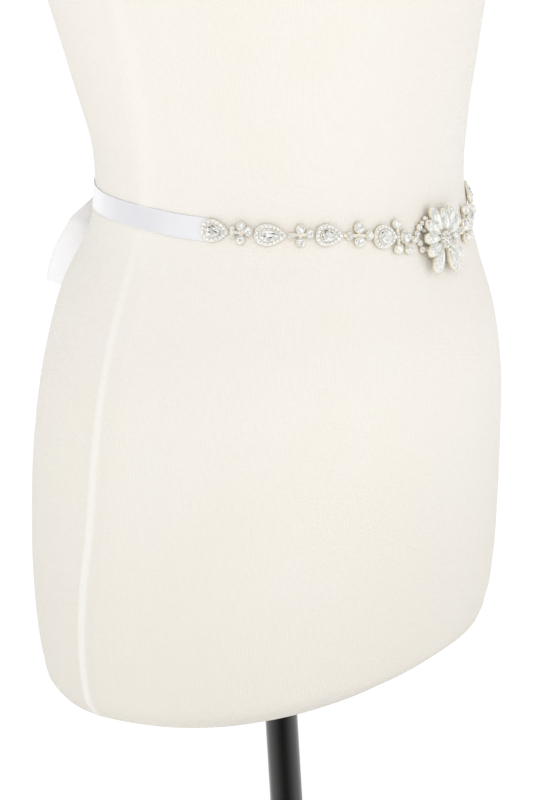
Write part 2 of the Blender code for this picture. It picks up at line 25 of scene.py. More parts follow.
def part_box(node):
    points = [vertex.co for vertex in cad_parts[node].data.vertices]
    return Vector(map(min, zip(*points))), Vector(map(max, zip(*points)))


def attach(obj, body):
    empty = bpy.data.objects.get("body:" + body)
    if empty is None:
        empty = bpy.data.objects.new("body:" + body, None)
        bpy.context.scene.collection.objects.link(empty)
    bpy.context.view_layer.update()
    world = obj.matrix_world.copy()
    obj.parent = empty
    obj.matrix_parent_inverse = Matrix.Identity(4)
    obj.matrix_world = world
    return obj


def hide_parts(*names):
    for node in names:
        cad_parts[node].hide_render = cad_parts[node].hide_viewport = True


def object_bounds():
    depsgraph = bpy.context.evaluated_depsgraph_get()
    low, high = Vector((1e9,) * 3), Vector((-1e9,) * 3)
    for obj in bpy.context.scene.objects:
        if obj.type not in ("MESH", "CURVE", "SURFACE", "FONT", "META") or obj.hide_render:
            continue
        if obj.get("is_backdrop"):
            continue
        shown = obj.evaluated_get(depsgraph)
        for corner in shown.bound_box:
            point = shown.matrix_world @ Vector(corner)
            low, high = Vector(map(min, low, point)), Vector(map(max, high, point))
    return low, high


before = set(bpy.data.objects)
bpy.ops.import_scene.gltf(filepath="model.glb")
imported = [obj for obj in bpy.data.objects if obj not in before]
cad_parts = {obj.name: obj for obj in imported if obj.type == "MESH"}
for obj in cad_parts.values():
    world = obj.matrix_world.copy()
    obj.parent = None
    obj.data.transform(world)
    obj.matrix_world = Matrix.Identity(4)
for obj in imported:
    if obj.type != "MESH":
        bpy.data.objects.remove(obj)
CAD_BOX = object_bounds()
LOG = logging.getLogger("sash belt")

MM = 0.001
BODY = "root"
SEED = 11
APPLIQUE_CENTRE = -0.003


def named_rows(kind: type, *rows: tuple) -> tuple:
    """Names the columns of a table's rows."""
    return tuple(kind(*row) for row in rows)


FormSection = namedtuple("FormSection", "height half_width front back")
FORM_SECTIONS = named_rows(
    FormSection,
    (-266, 139, 85, 112), (-258, 146, 100, 117), (-245, 150, 107, 119), (-220, 154, 113, 120),
    (-190, 156, 117, 119), (-150, 155, 122, 116), (-110, 149, 127, 112), (-70, 138, 127, 105),
    (-35, 126, 121, 94), (0, 117, 117, 72), (40, 117, 122, 64), (80, 124, 130, 73), (120, 131, 138, 84),
    (160, 137, 146, 96), (200, 145, 150, 103), (240, 153, 142, 107), (275, 173, 124, 107),
    (305, 192, 108, 104), (335, 190, 94, 98), (352, 177, 84, 92), (366, 154, 75, 85),
    (379, 124, 67, 78), (391, 94, 60, 71), (402, 73, 54, 65), (416, 61, 50, 61), (436, 56, 48, 58),
    (468, 54, 46, 56),
)

BeltRow = namedtuple("BeltRow", "along height")
BELT_ROWS = named_rows(
    BeltRow,
    (-340, 20), (-260, 19), (-215, 16), (-160, 7.5), (-90, 0), (-45, -8), (-20, -13.5), (0, -16.5),
    (20, -17.5), (48, -14.5), (78, -7.5), (110, -2), (160, 6), (215, 14), (260, 18), (340, 20),
)

# Turn of the side seam from the centre front, in thousandths of a radian.
SeamRow = namedtuple("SeamRow", "height turn")
SEAM_ROWS = named_rows(
    SeamRow,
    (-266, 1885), (-237, 1864), (-188, 1800), (-157, 1748), (-120, 1725), (-74, 1709), (-40, 1682),
    (-6, 1624), (27, 1546), (57, 1528), (95, 1526), (132, 1551), (200, 1590), (300, 1620), (468, 1620),
)

LoopRow = namedtuple("LoopRow", "side height width standing")
LOOP_ROWS = named_rows(
    LoopRow,
    (8.0, 20.5, 7.0, 5), (17.0, 16.0, 9.5, 12), (27.0, 7.0, 12.2, 24), (36.0, -3.2, 12.7, 38),
    (42.5, -11.0, 12.7, 58), (45.2, -19.5, 12.7, 75), (45.2, -29.0, 12.7, 86), (43.8, -39.0, 12.7, 90),
    (41.8, -46.0, 12.7, 90), (38.2, -48.8, 12.7, 90), (34.4, -46.2, 12.7, 90), (32.4, -38.0, 12.7, 90),
    (31.0, -25.0, 12.7, 86), (27.5, -12.0, 12.7, 72), (21.5, -1.0, 12.0, 48), (15.0, 6.5, 9.5, 24),
    (8.0, 11.0, 7.0, 5),
)

TailRow = namedtuple("TailRow", "side height width standoff")
TAIL_ROWS = {
    "right": named_rows(
        TailRow,
        (-3.9, 6.2, 7.0, 2.4), (-7.0, -8, 10.5, 2.0), (-11.5, -30, 12.7, 1.2), (-15.0, -60, 12.7, 1.6),
        (-20.0, -95, 12.7, 3.2), (-22.0, -130, 12.7, 2.2), (-27.0, -165, 12.7, 2.6),
        (-30.0, -186, 12.7, 4.4),
    ),
    "left": named_rows(
        TailRow,
        (3.9, 6.2, 7.0, 2.4), (6.5, -8, 10.5, 1.6), (9.0, -30, 12.7, 2.0), (14.0, -60, 12.7, 3.0),
        (15.5, -95, 12.7, 1.6), (20.0, -130, 12.7, 2.8), (24.0, -165, 12.7, 4.2),
    ),
}

# Distance is from the flower's middle. Taper 0 is an oval or a round, and more is a pear.
StonePlace = namedtuple("StonePlace", "distance lift length width taper top")
PEAR_PLATES = {
    "pear_outer": StonePlace(143.8, 0, 15.2, 12.2, 0.32, 4.2),
    "pear_second": StonePlace(114.4, -0.8, 17.2, 11.8, 0.32, 4.4),
    "pear_third": StonePlace(82.5, -0.3, 15.6, 11.8, 0.32, 4.4),
    "pear_inner": StonePlace(47.6, -0.2, 15.8, 12.8, 0.25, 4.8),
# Logs how much larger the dressed part's box is than the frame's box.
}
# Small stones between the petals' tips, from the flower's middle to the wearer's left and up.
SprayStone = namedtuple("SprayStone", "across up size")
SPRAY_STONES = named_rows(
    SprayStone,
    (-18.6, 7.4, 4.2), (-15.6, 9.8, 3.0), (-12.4, 12.2, 3.2), (-14.6, 6.0, 2.8), (-18.2, -4.6, 3.8),
    (-13.8, -4.4, 2.8), (13.6, 10.0, 3.0), (15.8, -6.4, 3.2),
)
ROUND_CLUSTERS = {
    "cluster_outer": named_rows(
        StonePlace,
        (134.2, 2.0, 3.0, 3.0, 0, 3.2), (134.2, -2.0, 3.0, 3.0, 0, 3.2), (129.7, 3.4, 5.0, 5.0, 0, 4.0),
        (129.9, -3.8, 5.0, 5.0, 0, 4.0), (125.9, 0.8, 5.2, 5.2, 0, 4.4),
    ),
    "cluster_second": named_rows(
        StonePlace,
        (103.4, -1.2, 3.4, 3.4, 0, 3.6), (98.5, 2.5, 5.0, 5.0, 0, 4.0), (98.4, -4.4, 5.0, 5.0, 0, 4.0),
        (93.4, 0.2, 4.8, 4.8, 0, 4.4),
    ),
    "cluster_third": named_rows(
        StonePlace,
        (70.7, -0.4, 4.4, 4.4, 0, 3.8), (64.9, 4.2, 6.0, 6.0, 0, 4.4), (64.9, -3.0, 6.0, 6.0, 0, 4.4),
        (58.6, 0.3, 5.0, 5.0, 0, 4.6),
    ),
    "cluster_inner": named_rows(
        StonePlace,
        (39.2, 6.9, 5.8, 5.0, 0, 4.6), (39.2, -6.7, 5.8, 5.0, 0, 4.6), (33.4, 0.2, 7.0, 7.0, 0, 5.2),
        (31.4, -6.4, 5.0, 5.0, 0, 4.4), (25.8, -1.2, 3.6, 3.6, 0, 4.2), (22.0, 2.2, 3.8, 3.8, 0, 3.1),
        (20.2, -2.6, 3.8, 3.8, 0, 3.1),
    ),
}
# The numbers, from 0, of the clusters' milky stones.
MILKY_STONES = {"cluster_inner": (0, 1), "cluster_third": (3,)}

# Links are flat bars behind the stones, from one place to another.
Link = namedtuple("Link", "from_distance from_lift to_distance to_lift")
CLUSTER_LINKS = {
    "cluster_outer": named_rows(
        Link,
        (135.5, 0, 123.8, 0), (134.2, -2.6, 134.2, 2.6), (129.8, -4.6, 129.8, 4.6),
    ),
    "cluster_second": named_rows(
        Link,
        (105.0, -0.6, 91.4, -0.2), (98.4, -5.2, 98.4, 3.6),
    ),
    "cluster_third": named_rows(
        Link,
        (74.1, -0.2, 56.6, 0), (64.9, -5.0, 64.9, 5.0),
    ),
    "cluster_inner": named_rows(
        Link,
        (39.1, 0, 20.4, 0), (38.2, -6.6, 38.2, 6.6), (31.8, -7.2, 31.8, 1.0), (21.2, -3.4, 21.2, 3.2),
    ),
}

# Angles are seen from the front, from the wearer's left and turning up.
PetalPlace = namedtuple("PetalPlace", "angle reach width top")
PETAL_PLACES = named_rows(
    PetalPlace,
    (-128, 21.2, 7.4, 7.2), (-57, 20.8, 7.4, 7.2), (-28, 21.0, 6.4, 6.6), (31, 22.6, 6.2, 6.8),
    (56, 21.2, 6.2, 7.2), (81, 17.4, 5.4, 6.6), (122, 21.2, 6.8, 7.2), (149, 20.4, 6.2, 7.0),
    (174, 20.2, 5.8, 7.2), (200, 19.2, 6.2, 7.2),
)


class Side(Enum):
    """Sides of the wearer, with the sign of X."""

    RIGHT = -1
    LEFT = 1

    @property
    def word(self) -> str:
        """The side's name in lower case."""
        return self.name.lower()


class StoneKind(Enum):
    """Kinds of cut glass on the belt."""

    CLEAR = "clear"
    MILKY = "milky"


def smooth_step(part: float) -> float:
    """Eases a share, which is kept between 0 and 1."""
    part = min(1.0, max(0.0, part))
    return part * part * (3 - 2 * part)


def between(
    near: np.ndarray, far: np.ndarray, near_slope: np.ndarray, far_slope: np.ndarray, part: float
) -> np.ndarray:
    """Finds values between two rows, on a curve with given slopes at both.

    Args:
        near: The first row.
        far: The second row.
        near_slope: The first row's slopes.
        far_slope: The second row's slopes.
        part: The share of the way from the first to the second.

    Returns:
        The values.
    """
    eased = near + (far - near) * part * part * (3 - 2 * part)
    return eased + near_slope * part * (1 - part) ** 2 - far_slope * part**2 * (1 - part)


def fade(distance: float, reach: float, power: float = 1.0) -> float:
    """Falls from 1 at a distance of 0 to 0 at the reach."""
    return max(0.0, 1 - distance / reach) ** power


class SmoothTable:
    """Reads a table of named columns at any place between its rows, along a smooth curve."""

    def __init__(self, rows: Sequence[tuple]) -> None:
        """Keeps the rows in metres.

        Args:
            rows: Rows whose first column grows.
        """
        values = np.array(rows, float) * MM
        self.keys = values[:, 0]
        self.columns = values[:, 1:]
        self.slopes = np.gradient(self.columns, self.keys, axis=0)

    def at(self, key: float) -> np.ndarray:
        """Reads the other columns.

        Args:
            key: A value of the first column.

        Returns:
            The other columns' values there.
        """
        key = min(max(key, self.keys[0]), self.keys[-1])
        row = min(max(int(np.searchsorted(self.keys, key)) - 1, 0), len(self.keys) - 2)
        step = self.keys[row + 1] - self.keys[row]
        part = (key - self.keys[row]) / step
        return between(*self.columns[row : row + 2], *self.slopes[row : row + 2] * step, part)


def smooth_rows(rows: Sequence[tuple], steps_per_row: int) -> list[tuple]:
    """Adds rows between the rows of a path, along a smooth curve through each column.

    Args:
        rows: Named rows of the path.
        steps_per_row: Rows made from each.

    Returns:
        The longer path.
    """
    values = np.array(rows, float)
    slopes = np.gradient(values, axis=0)
    smoothed = []
    for i in range((len(rows) - 1) * steps_per_row + 1):
        row = min(i // steps_per_row, len(rows) - 2)
        part = i / steps_per_row - row
        smoothed.append(type(rows[0])(*between(*values[row : row + 2], *slopes[row : row + 2], part)))
    return smoothed


def bell(value: float, middle: float, reach: float) -> float:
    """A smooth bump that is 1 at the middle and fades to 0 at its reach."""
    away = min(abs(value - middle) / reach, 1.0)
    return (1 - away * away) ** 2


@dataclass
class FormSurface:
    """The form's surface: rounded sections stacked from the hips to the neck."""

    waist_height: float = 0.470
    squareness: float = 2.2
    sections: SmoothTable = field(default_factory=lambda: SmoothTable(FORM_SECTIONS))

    def rounded(self, value: float) -> float:
        """A sine or cosine bent to the form's squareness."""
        return math.copysign(abs(value) ** (2 / self.squareness), value)

    def point(self, turn: float, height: float) -> Vector:
        """Finds a point on the form.

        Args:
            turn: Turn from the centre front, positive to the wearer's left.
            height: Height above the waist.

        Returns:
            The point.
        """
        half_width, front, back = self.sections.at(height)
        depth = front if math.cos(turn) > 0 else back
        x = half_width * self.rounded(math.sin(turn))
        y = -depth * self.rounded(math.cos(turn))
        return Vector((x, y, self.waist_height + height))

    def outward(self, turn: float, height: float) -> Vector:
        """Finds the direction that points straight out of the form.

        Args:
            turn: Turn from the centre front, positive to the wearer's left.
            height: Height above the waist.

        Returns:
            The unit direction.
        """
        small = 0.5 * MM
        half_width, front, back = self.sections.at(height)
        widening = (self.sections.at(height + small) - self.sections.at(height - small)) / (2 * small)
        in_front = math.cos(turn) > 0
        depth = front if in_front else back
        deepening = widening[1] if in_front else widening[2]
        across, deep = abs(math.sin(turn)), abs(math.cos(turn))
        power = 2 * (self.squareness - 1) / self.squareness
        x = math.copysign(across**power / half_width, math.sin(turn))
        y = -math.copysign(deep**power / depth, math.cos(turn))
        z = -(across**2 * widening[0] / half_width + deep**2 * deepening / depth)
        return Vector((x, y, z)).normalized()

    def back_turn(self, sideways: float, height: float) -> float:
        """Turn at which the back of the form is that far to the side."""
        half_width = self.sections.at(height)[0]
        across = (abs(sideways) / half_width) ** (self.squareness / 2)
        return math.copysign(math.pi - math.asin(across), sideways)


@dataclass
class BeltLine:
    """The line round the form that the ribbon and the applique follow."""

    form: FormSurface
    heights: SmoothTable = field(default_factory=lambda: SmoothTable(BELT_ROWS))
    walk_steps: int = 600

    def __post_init__(self) -> None:
        """Walks round both sides, so that a distance gives a turn."""
        self.walks = {side: self.walk(side) for side in Side}
        self.half_girth = min(reached[-1] for _, reached in self.walks.values())

    def walk(self, side: Side) -> tuple[list[float], list[float]]:
        """Walks from the centre front to the centre back.

        Args:
            side: The side to walk on.

        Returns:
            Turns and the distances that they reach, both positive.
        """
        turns = [math.pi * i / self.walk_steps for i in range(self.walk_steps + 1)]
        reached = [0.0]
        here = self.form.point(0, self.heights.at(0)[0])
        for turn in turns[1:]:
            there = self.form.point(side.value * turn, self.heights.at(side.value * reached[-1])[0])
            reached.append(reached[-1] + (there - here).length)
            here = there
        return turns, reached

    def turn(self, along: float) -> float:
        """Turn from the centre front at a distance along the belt."""
        side = Side.LEFT if along >= 0 else Side.RIGHT
        turns, reached = self.walks[side]
        return side.value * float(np.interp(abs(along), reached, turns))

    def point(self, along: float, lift: float, out: float) -> Vector:
        """Finds a point near the belt line.

        Args:
            along: Distance from the centre front, positive to the wearer's left.
            lift: Height above the belt line.
            out: Distance out of the form.

        Returns:
            The point.
        """
        height = float(self.heights.at(along)[0]) + lift
        turn = self.turn(along)
        return self.form.point(turn, height) + self.form.outward(turn, height) * out

    def seat(self, along: float, lift: float = 0.0) -> Matrix:
        """Finds a placement on the form.

        Args:
            along: Distance from the centre front, positive to the wearer's left.
            lift: Height above the belt line.

        Returns:
            The placement: X to the wearer's left along the belt, Y up, Z out of the form.
        """
        height = float(self.heights.at(along)[0]) + lift
        outward = self.form.outward(self.turn(along), height)
        leftward = self.point(along + MM, lift, 0) - self.point(along - MM, lift, 0)
        leftward = (leftward - outward * leftward.dot(outward)).normalized()
        upward = outward.cross(leftward)
        seat = Matrix((leftward, upward, outward)).transposed().to_4x4()
        seat.translation = self.point(along, lift, 0)
        return seat


class NodeBoard:
    """Adds nodes to a shader tree and joins them."""

    def __init__(self, tree: bpy.types.NodeTree) -> None:
        """Keeps the tree."""
        self.tree = tree

    def add(self, kind: str, values: dict | None = None, **settings: object) -> Node:
        """Adds a node.

        Args:
            kind: The node's type.
            values: Values or sockets for its inputs, by name or number.
            **settings: The node's own properties.

        Returns:
            The node.
        """
        node = self.tree.nodes.new(kind)
        for name, setting in settings.items():
            setattr(node, name, setting)
        for name, value in (values or {}).items():
            if isinstance(value, NodeSocket):
                self.tree.links.new(value, node.inputs[name])
            else:
                node.inputs[name].default_value = value
        return node

    def math(self, operation: str, *values: float | NodeSocket) -> NodeSocket:
        """Joins a Math node and gives its result."""
        return self.add("ShaderNodeMath", dict(enumerate(values)), operation=operation).outputs[0]

    def mix(self, factor: float | NodeSocket, first: object, second: object) -> NodeSocket:
        """Mixes two colours and gives the result."""
        node = self.add("ShaderNodeMix", {0: factor, 6: first, 7: second}, data_type="RGBA")
        return node.outputs[2]

    def attribute(self, name: str) -> NodeSocket:
        """The value of a mesh attribute."""
        return self.add("ShaderNodeAttribute", attribute_name=name).outputs["Fac"]

    def group(self, group: bpy.types.NodeTree, values: dict) -> Node:
        """Places a node group with its own values."""
        return self.add("ShaderNodeGroup", values, node_tree=group)

    def join(self, value: NodeSocket, node: Node, name: str) -> None:
        """Leads a value into a node's input."""
        self.tree.links.new(value, node.inputs[name])

    def place(self) -> NodeSocket:
        """The place on the object."""
        return self.add("ShaderNodeTexCoord").outputs["Object"]

    def weave(self) -> NodeSocket:
        """The piece's own map, in metres."""
        return self.add("ShaderNodeUVMap", uv_map="weave").outputs[0]

    def part(self, vector: NodeSocket, axis: int) -> NodeSocket:
        """One part of a vector."""
        return self.add("ShaderNodeSeparateXYZ", {0: vector}).outputs[axis]

    def share(self, value: NodeSocket, low: float | NodeSocket, high: float) -> NodeSocket:
        """Where a value lies between two others, from 0 to 1."""
        return self.add("ShaderNodeMapRange", {0: value, 1: low, 2: high}).outputs[0]

    def relief(self, shader: Node, height: NodeSocket, strength: float, depth: float) -> None:
        """Gives a shader a bump."""
        bump = self.add("ShaderNodeBump", {"Strength": strength, "Distance": depth, "Height": height})
        self.join(bump.outputs[0], shader, "Normal")


def new_group(
    name: str, inputs: dict[str, object], outputs: dict[str, str]
) -> tuple[NodeBoard, Node, Node]:
    """Starts a node group.

    Args:
        name: The group's name.
        inputs: Default values by name: a number, or four numbers for a colour, or three for a vector.
        outputs: Socket types by name.

    Returns:
        Its board, its input node and its output node.
    """
    tree = bpy.data.node_groups.new(name, "ShaderNodeTree")
    kinds = {3: "NodeSocketVector", 4: "NodeSocketColor"}
    for label, value in inputs.items():
        kind = "NodeSocketFloat" if isinstance(value, float) else kinds[len(value)]
        socket = tree.interface.new_socket(label, in_out="INPUT", socket_type=kind)
        socket.default_value = value
    for label, kind in outputs.items():
        tree.interface.new_socket(label, in_out="OUTPUT", socket_type=kind)
    board = NodeBoard(tree)
    return board, board.add("NodeGroupInput"), board.add("NodeGroupOutput")


class SharedEffects:
    """Node groups that more than one finish uses."""

    def __init__(self) -> None:
        """Builds each group once."""
        self.mottle = self.build_mottle()
        self.threads = self.build_threads()
        self.facets = self.build_facet_reflections()

    def thread_height(
        self, board: NodeBoard, weave: NodeSocket, row_pitch: float, stitch_pitch: float, share: float
    ) -> NodeSocket:
        """Places rows of threads on a piece's map.

        Args:
            board: The material's board.
            weave: The map.
            row_pitch: Distance from row to row.
            stitch_pitch: Length of a stitch.
            share: How strong the stitches are beside the rows.

        Returns:
            The height, from 0 to 1.
        """
        values = {"Vector": weave, "Row Pitch": row_pitch, "Stitch Pitch": stitch_pitch}
        values["Stitch Share"] = share
        return board.group(self.threads, values).outputs["Height"]

    @staticmethod
    def build_mottle() -> bpy.types.NodeTree:
        """Soft patches between two colours."""
        inputs = {
            "Vector": (0.0, 0.0, 0.0),
            "Scale": 20.0,
            "Low": (0.5, 0.5, 0.5, 1.0),
            "High": (1.0, 1.0, 1.0, 1.0),
        }
        outputs = {"Colour": "NodeSocketColor", "Mask": "NodeSocketFloat"}
        board, given, result = new_group("soft mottle", inputs, outputs)
        values = {"Vector": given.outputs["Vector"], "Scale": given.outputs["Scale"], "Detail": 4.0}
        noise = board.add("ShaderNodeTexNoise", values)
        mask = board.share(noise.outputs["Fac"], 0.35, 0.65)
        board.join(board.mix(mask, given.outputs["Low"], given.outputs["High"]), result, "Colour")
        board.join(mask, result, "Mask")
        return board.tree

    @staticmethod
    def build_threads() -> bpy.types.NodeTree:
        """Rows of threads across a surface and stitches along them, from a map in metres."""
        inputs = {"Vector": (0.0, 0.0, 0.0), "Row Pitch": 0.001}
        inputs |= {"Stitch Pitch": 0.001, "Stitch Share": 0.5}
        board, given, result = new_group("thread rows", inputs, {"Height": "NodeSocketFloat"})
        across, along = (board.part(given.outputs["Vector"], axis) for axis in (0, 1))
        row_turns = board.math("DIVIDE", across, given.outputs["Row Pitch"])
        rows = board.math("SINE", board.math("MULTIPLY", row_turns, math.tau))
        stitch_turns = board.math("DIVIDE", along, given.outputs["Stitch Pitch"])
        leaning = board.math("MULTIPLY_ADD", board.math("ABSOLUTE", rows), 0.5, stitch_turns)
        stitches = board.math("SINE", board.math("MULTIPLY", leaning, math.tau))
        height = board.math("MULTIPLY_ADD", stitches, given.outputs["Stitch Share"], rows)
        board.join(board.math("MULTIPLY_ADD", height, 0.3, 0.5), result, "Height")
        return board.tree

    @staticmethod
    def build_facet_reflections() -> bpy.types.NodeTree:
        """A painted reflection for each facet: a few dark ones, some grey ones and many bright glints.
        """
        inputs = {
            "Dark": (0.02, 0.02, 0.02, 1.0),
            "Grey": (0.4, 0.4, 0.4, 1.0),
            "Bright": (0.95, 0.95, 0.95, 1.0),
            "Dark Share": 0.12,
            "Grey Share": 0.45,
        }
        board, given, result = new_group("painted facet reflections", inputs, {"Colour": "NodeSocketColor"})
        facet = board.attribute("facet")
        brighter = board.share(facet, given.outputs["Grey Share"], 1.0)
        light = board.mix(brighter, given.outputs["Grey"], given.outputs["Bright"])
        is_dark = board.math("LESS_THAN", facet, given.outputs["Dark Share"])
        board.join(board.mix(is_dark, light, given.outputs["Dark"]), result, "Colour")
        return board.tree


@dataclass(frozen=True)
class Finish:
    """What every finish has: the constant values of its shader."""

    name: str
    slot: str
    roughness: float
    metallic: float = 0.0
    coat: float = 0.0
    coat_roughness: float = 0.05
    coat_ior: float = 1.5
    sheen: float = 0.0
    sheen_roughness: float = 0.5
    specular: float = 0.5
    anisotropy: float = 0.0

    def material(self, effects: SharedEffects) -> Material:
        """Builds the material.

        Args:
            effects: The shared node groups.

        Returns:
            The material.
        """
        material = bpy.data.materials.new(self.name)
        material.use_nodes = True
        shader = material.node_tree.nodes["Principled BSDF"]
        constants = {
            "Roughness": self.roughness,
            "Metallic": self.metallic,
            "Coat Weight": self.coat,
            "Coat Roughness": self.coat_roughness,
            "Coat IOR": self.coat_ior,
            "Sheen Weight": self.sheen,
            "Sheen Roughness": self.sheen_roughness,
            "Specular IOR Level": self.specular,
            "Anisotropic": self.anisotropy,
        }
        for name, value in constants.items():
            shader.inputs[name].default_value = value
        self.paint(NodeBoard(material.node_tree), shader, effects)
        return material

    def paint(self, board: NodeBoard, shader: Node, effects: SharedEffects) -> None:
        """Adds the nodes that vary over the surface, which each finish has of its own."""


@dataclass(frozen=True)
class JerseyFinish(Finish):
    """Cream knitted cotton stretched over padding."""

    name: str = "cream jersey"
    slot: str = "form_jersey"
    roughness: float = 0.92
    sheen: float = 0.25
    specular: float = 0.2
    cream: tuple = (0.86, 0.83, 0.76, 1.0)
    pale: tuple = (0.86, 0.84, 0.80, 1.0)
    rose: tuple = (0.87, 0.805, 0.76, 1.0)
    # Painted shade for the valleys between the stitches.
    valley_shade: tuple = (0.70, 0.66, 0.58, 1.0)
    seam_light: tuple = (0.93, 0.92, 0.90, 1.0)
    # Painted shade: the colour that the cover darkens to towards the bottom.
    lower_shade: tuple = (0.755, 0.725, 0.66, 1.0)
    lower_part: tuple[float, float] = (0.375, 0.205)
    patch_scale: float = 14.0
    blush_scale: float = 8.0
    blush_share: float = 0.45
    seam_share: float = 0.5
    rib_pitch: float = 0.0015
    stitch_pitch: float = 0.0012
    stitch_share: float = 0.6
    rib_depth: float = 0.00025
    rib_strength: float = 0.6
    slub_scale: tuple = (55.0, 330.0, 1.0)
    slub_depth: float = 0.8
    valley_shade_share: tuple[float, float] = (0.75, -0.1)

    def paint(self, board: NodeBoard, shader: Node, effects: SharedEffects) -> None:
        """Adds patches, painted shade towards the bottom and in the stitches' valleys, rows of stitches
        and a paler seam.
        """
        place, weave = board.place(), board.weave()
        values = {"Vector": place, "Scale": self.patch_scale, "Low": self.cream, "High": self.pale}
        patches = board.group(effects.mottle, values)
        blush = board.group(effects.mottle, {"Vector": place, "Scale": self.blush_scale})
        share = board.math("MULTIPLY", blush.outputs["Mask"], self.blush_share)
        toned = board.mix(share, patches.outputs["Colour"], self.rose)
        # Painted shade: the cover is darker towards the bottom, where less light reaches it.
        toned = board.mix(board.share(board.part(place, 2), *self.lower_part), toned, self.lower_shade)
        sizes = (self.rib_pitch, self.stitch_pitch, self.stitch_share)
        rows = effects.thread_height(board, weave, *sizes)
        factors = {0: weave, 1: self.slub_scale}
        stretched = board.add("ShaderNodeVectorMath", factors, operation="MULTIPLY")
        noise = board.add("ShaderNodeTexNoise", {"Vector": stretched.outputs[0], "Detail": 3.0})
        slubs = noise.outputs["Fac"]
        # Painted shade: the valleys between the stitches are darkened, more where the slubs run.
        valley = board.math("SUBTRACT", 1.0, rows)
        depth = board.math("MULTIPLY", valley, board.math("MULTIPLY_ADD", slubs, *self.valley_shade_share))
        knitted = board.mix(depth, toned, self.valley_shade)
        seam = board.math("MULTIPLY", board.attribute("seam"), self.seam_share)
        board.join(board.mix(seam, knitted, self.seam_light), shader, "Base Color")
        height = board.math("MULTIPLY_ADD", slubs, self.slub_depth, rows)
        board.relief(shader, height, self.rib_strength, self.rib_depth)


@dataclass(frozen=True)
class SatinFinish(Finish):
    """White satin ribbon with painted sheen and shade along its length, painted shade on its edges, and
    fine lengthwise threads.
    """

    name: str = "white satin"
    slot: str = "ribbon_satin"
    roughness: float = 0.34
    sheen: float = 0.6
    specular: float = 0.6
    anisotropy: float = 0.4
    # Painted shade: the colour that the sheen turns to along the ribbon.
    sheen_shade: tuple = (0.665, 0.665, 0.70, 1.0)
    white: tuple = (0.90, 0.90, 0.92, 1.0)
    # Painted shade along the woven edges.
    shade: tuple = (0.78, 0.78, 0.81, 1.0)
    shade_rise: tuple[float, float] = (-0.050, 0.048)
    shade_fall: tuple[float, float] = (0.056, 0.080)
    patch_scale: float = 45.0
    patch_share: float = 0.12
    edge_share: float = 0.6
    edge_roughness: float = 0.3
    thread_pitch: float = 0.00034
    stitch_pitch: float = 0.004
    stitch_share: float = 0.2
    thread_depth: float = 0.00004
    thread_strength: float = 0.5

    def paint(self, board: NodeBoard, shader: Node, effects: SharedEffects) -> None:
        """Adds soft stretches of painted sheen and shade along the ribbon, fine threads, and a duller
        woven edge with painted shade.
        """
        weave = board.weave()
        # Painted sheen and shade: along its length the ribbon goes from white to the sheen shade and
        # back, where the sheen turns from the lights, and soft patches break the painted shade up.
        patches = board.group(effects.mottle, {"Vector": board.place(), "Scale": self.patch_scale})
        along = board.part(weave, 1)
        kept = board.math("SUBTRACT", 1.0, board.share(along, *self.shade_fall))
        dim = board.math("MULTIPLY", board.share(along, *self.shade_rise), kept)
        dim = board.math("MULTIPLY_ADD", patches.outputs["Mask"], -self.patch_share, dim)
        bands = board.mix(board.math("SUBTRACT", 1.0, dim), self.sheen_shade, self.white)
        # Painted shade on the woven edges; only the added roughness is the edges' own.
        edge = board.math("MULTIPLY", board.attribute("selvedge"), self.edge_share)
        board.join(board.mix(edge, bands, self.shade), shader, "Base Color")
        rough = board.math("MULTIPLY_ADD", edge, self.edge_roughness, self.roughness)
        board.join(rough, shader, "Roughness")
        sizes = (self.thread_pitch, self.stitch_pitch, self.stitch_share)
        height = effects.thread_height(board, weave, *sizes)
        board.relief(shader, height, self.thread_strength, self.thread_depth)


@dataclass(frozen=True)
class StoneFinish(Finish):
    """Cut glass whose facets each have their own painted tone, which stands for the reflections and
    glints they catch.
    """

    name: str = "clear stone"
    slot: str = "crystal"
    roughness: float = 0.06
    coat: float = 1.0
    specular: float = 1.0
    dark: tuple = (0.02, 0.02, 0.02, 1.0)
    grey: tuple = (0.48, 0.48, 0.45, 1.0)
    bright: tuple = (1.0, 1.0, 1.0, 1.0)
    dark_share: float = 0.11
    grey_share: float = 0.36

    def paint(self, board: NodeBoard, shader: Node, effects: SharedEffects) -> None:
        """Adds a painted reflection tone for each facet."""
        values = {
            "Dark": self.dark,
            "Grey": self.grey,
            "Bright": self.bright,
            "Dark Share": self.dark_share,
            "Grey Share": self.grey_share,
        }
        tones = board.group(effects.facets, values)
        board.join(tones.outputs["Colour"], shader, "Base Color")


@dataclass(frozen=True)
class SettingFinish(Finish):
    """Silver plate, with painted shade that is warm and dark in its recesses."""

    name: str = "silver setting"
    slot: str = "silver_setting"
    roughness: float = 0.30
    patch_polish: float = 0.08
    patch_scale: float = 900.0
    metallic: float = 0.25
    silver: tuple = (0.99, 0.97, 0.90, 1.0)
    dull: tuple = (0.92, 0.89, 0.79, 1.0)
    # The colour of the painted shade.
    shadow_brown: tuple = (0.66, 0.56, 0.36, 1.0)

    def paint(self, board: NodeBoard, shader: Node, effects: SharedEffects) -> None:
        """Adds bright tops, painted shade on the feet and fine mottling."""
        values = {
            "Vector": board.place(),
            "Scale": self.patch_scale,
            "Low": self.dull,
            "High": self.silver,
        }
        patches = board.group(effects.mottle, values)
        # Painted shade: the feet of the cups and prongs and the bars behind the stones are darkened to
        # a warm brown.
        colour = board.mix(board.attribute("tarnish"), patches.outputs["Colour"], self.shadow_brown)
        board.join(colour, shader, "Base Color")
        rough = board.math("MULTIPLY_ADD", patches.outputs["Mask"], -self.patch_polish, self.roughness)
        board.join(rough, shader, "Roughness")


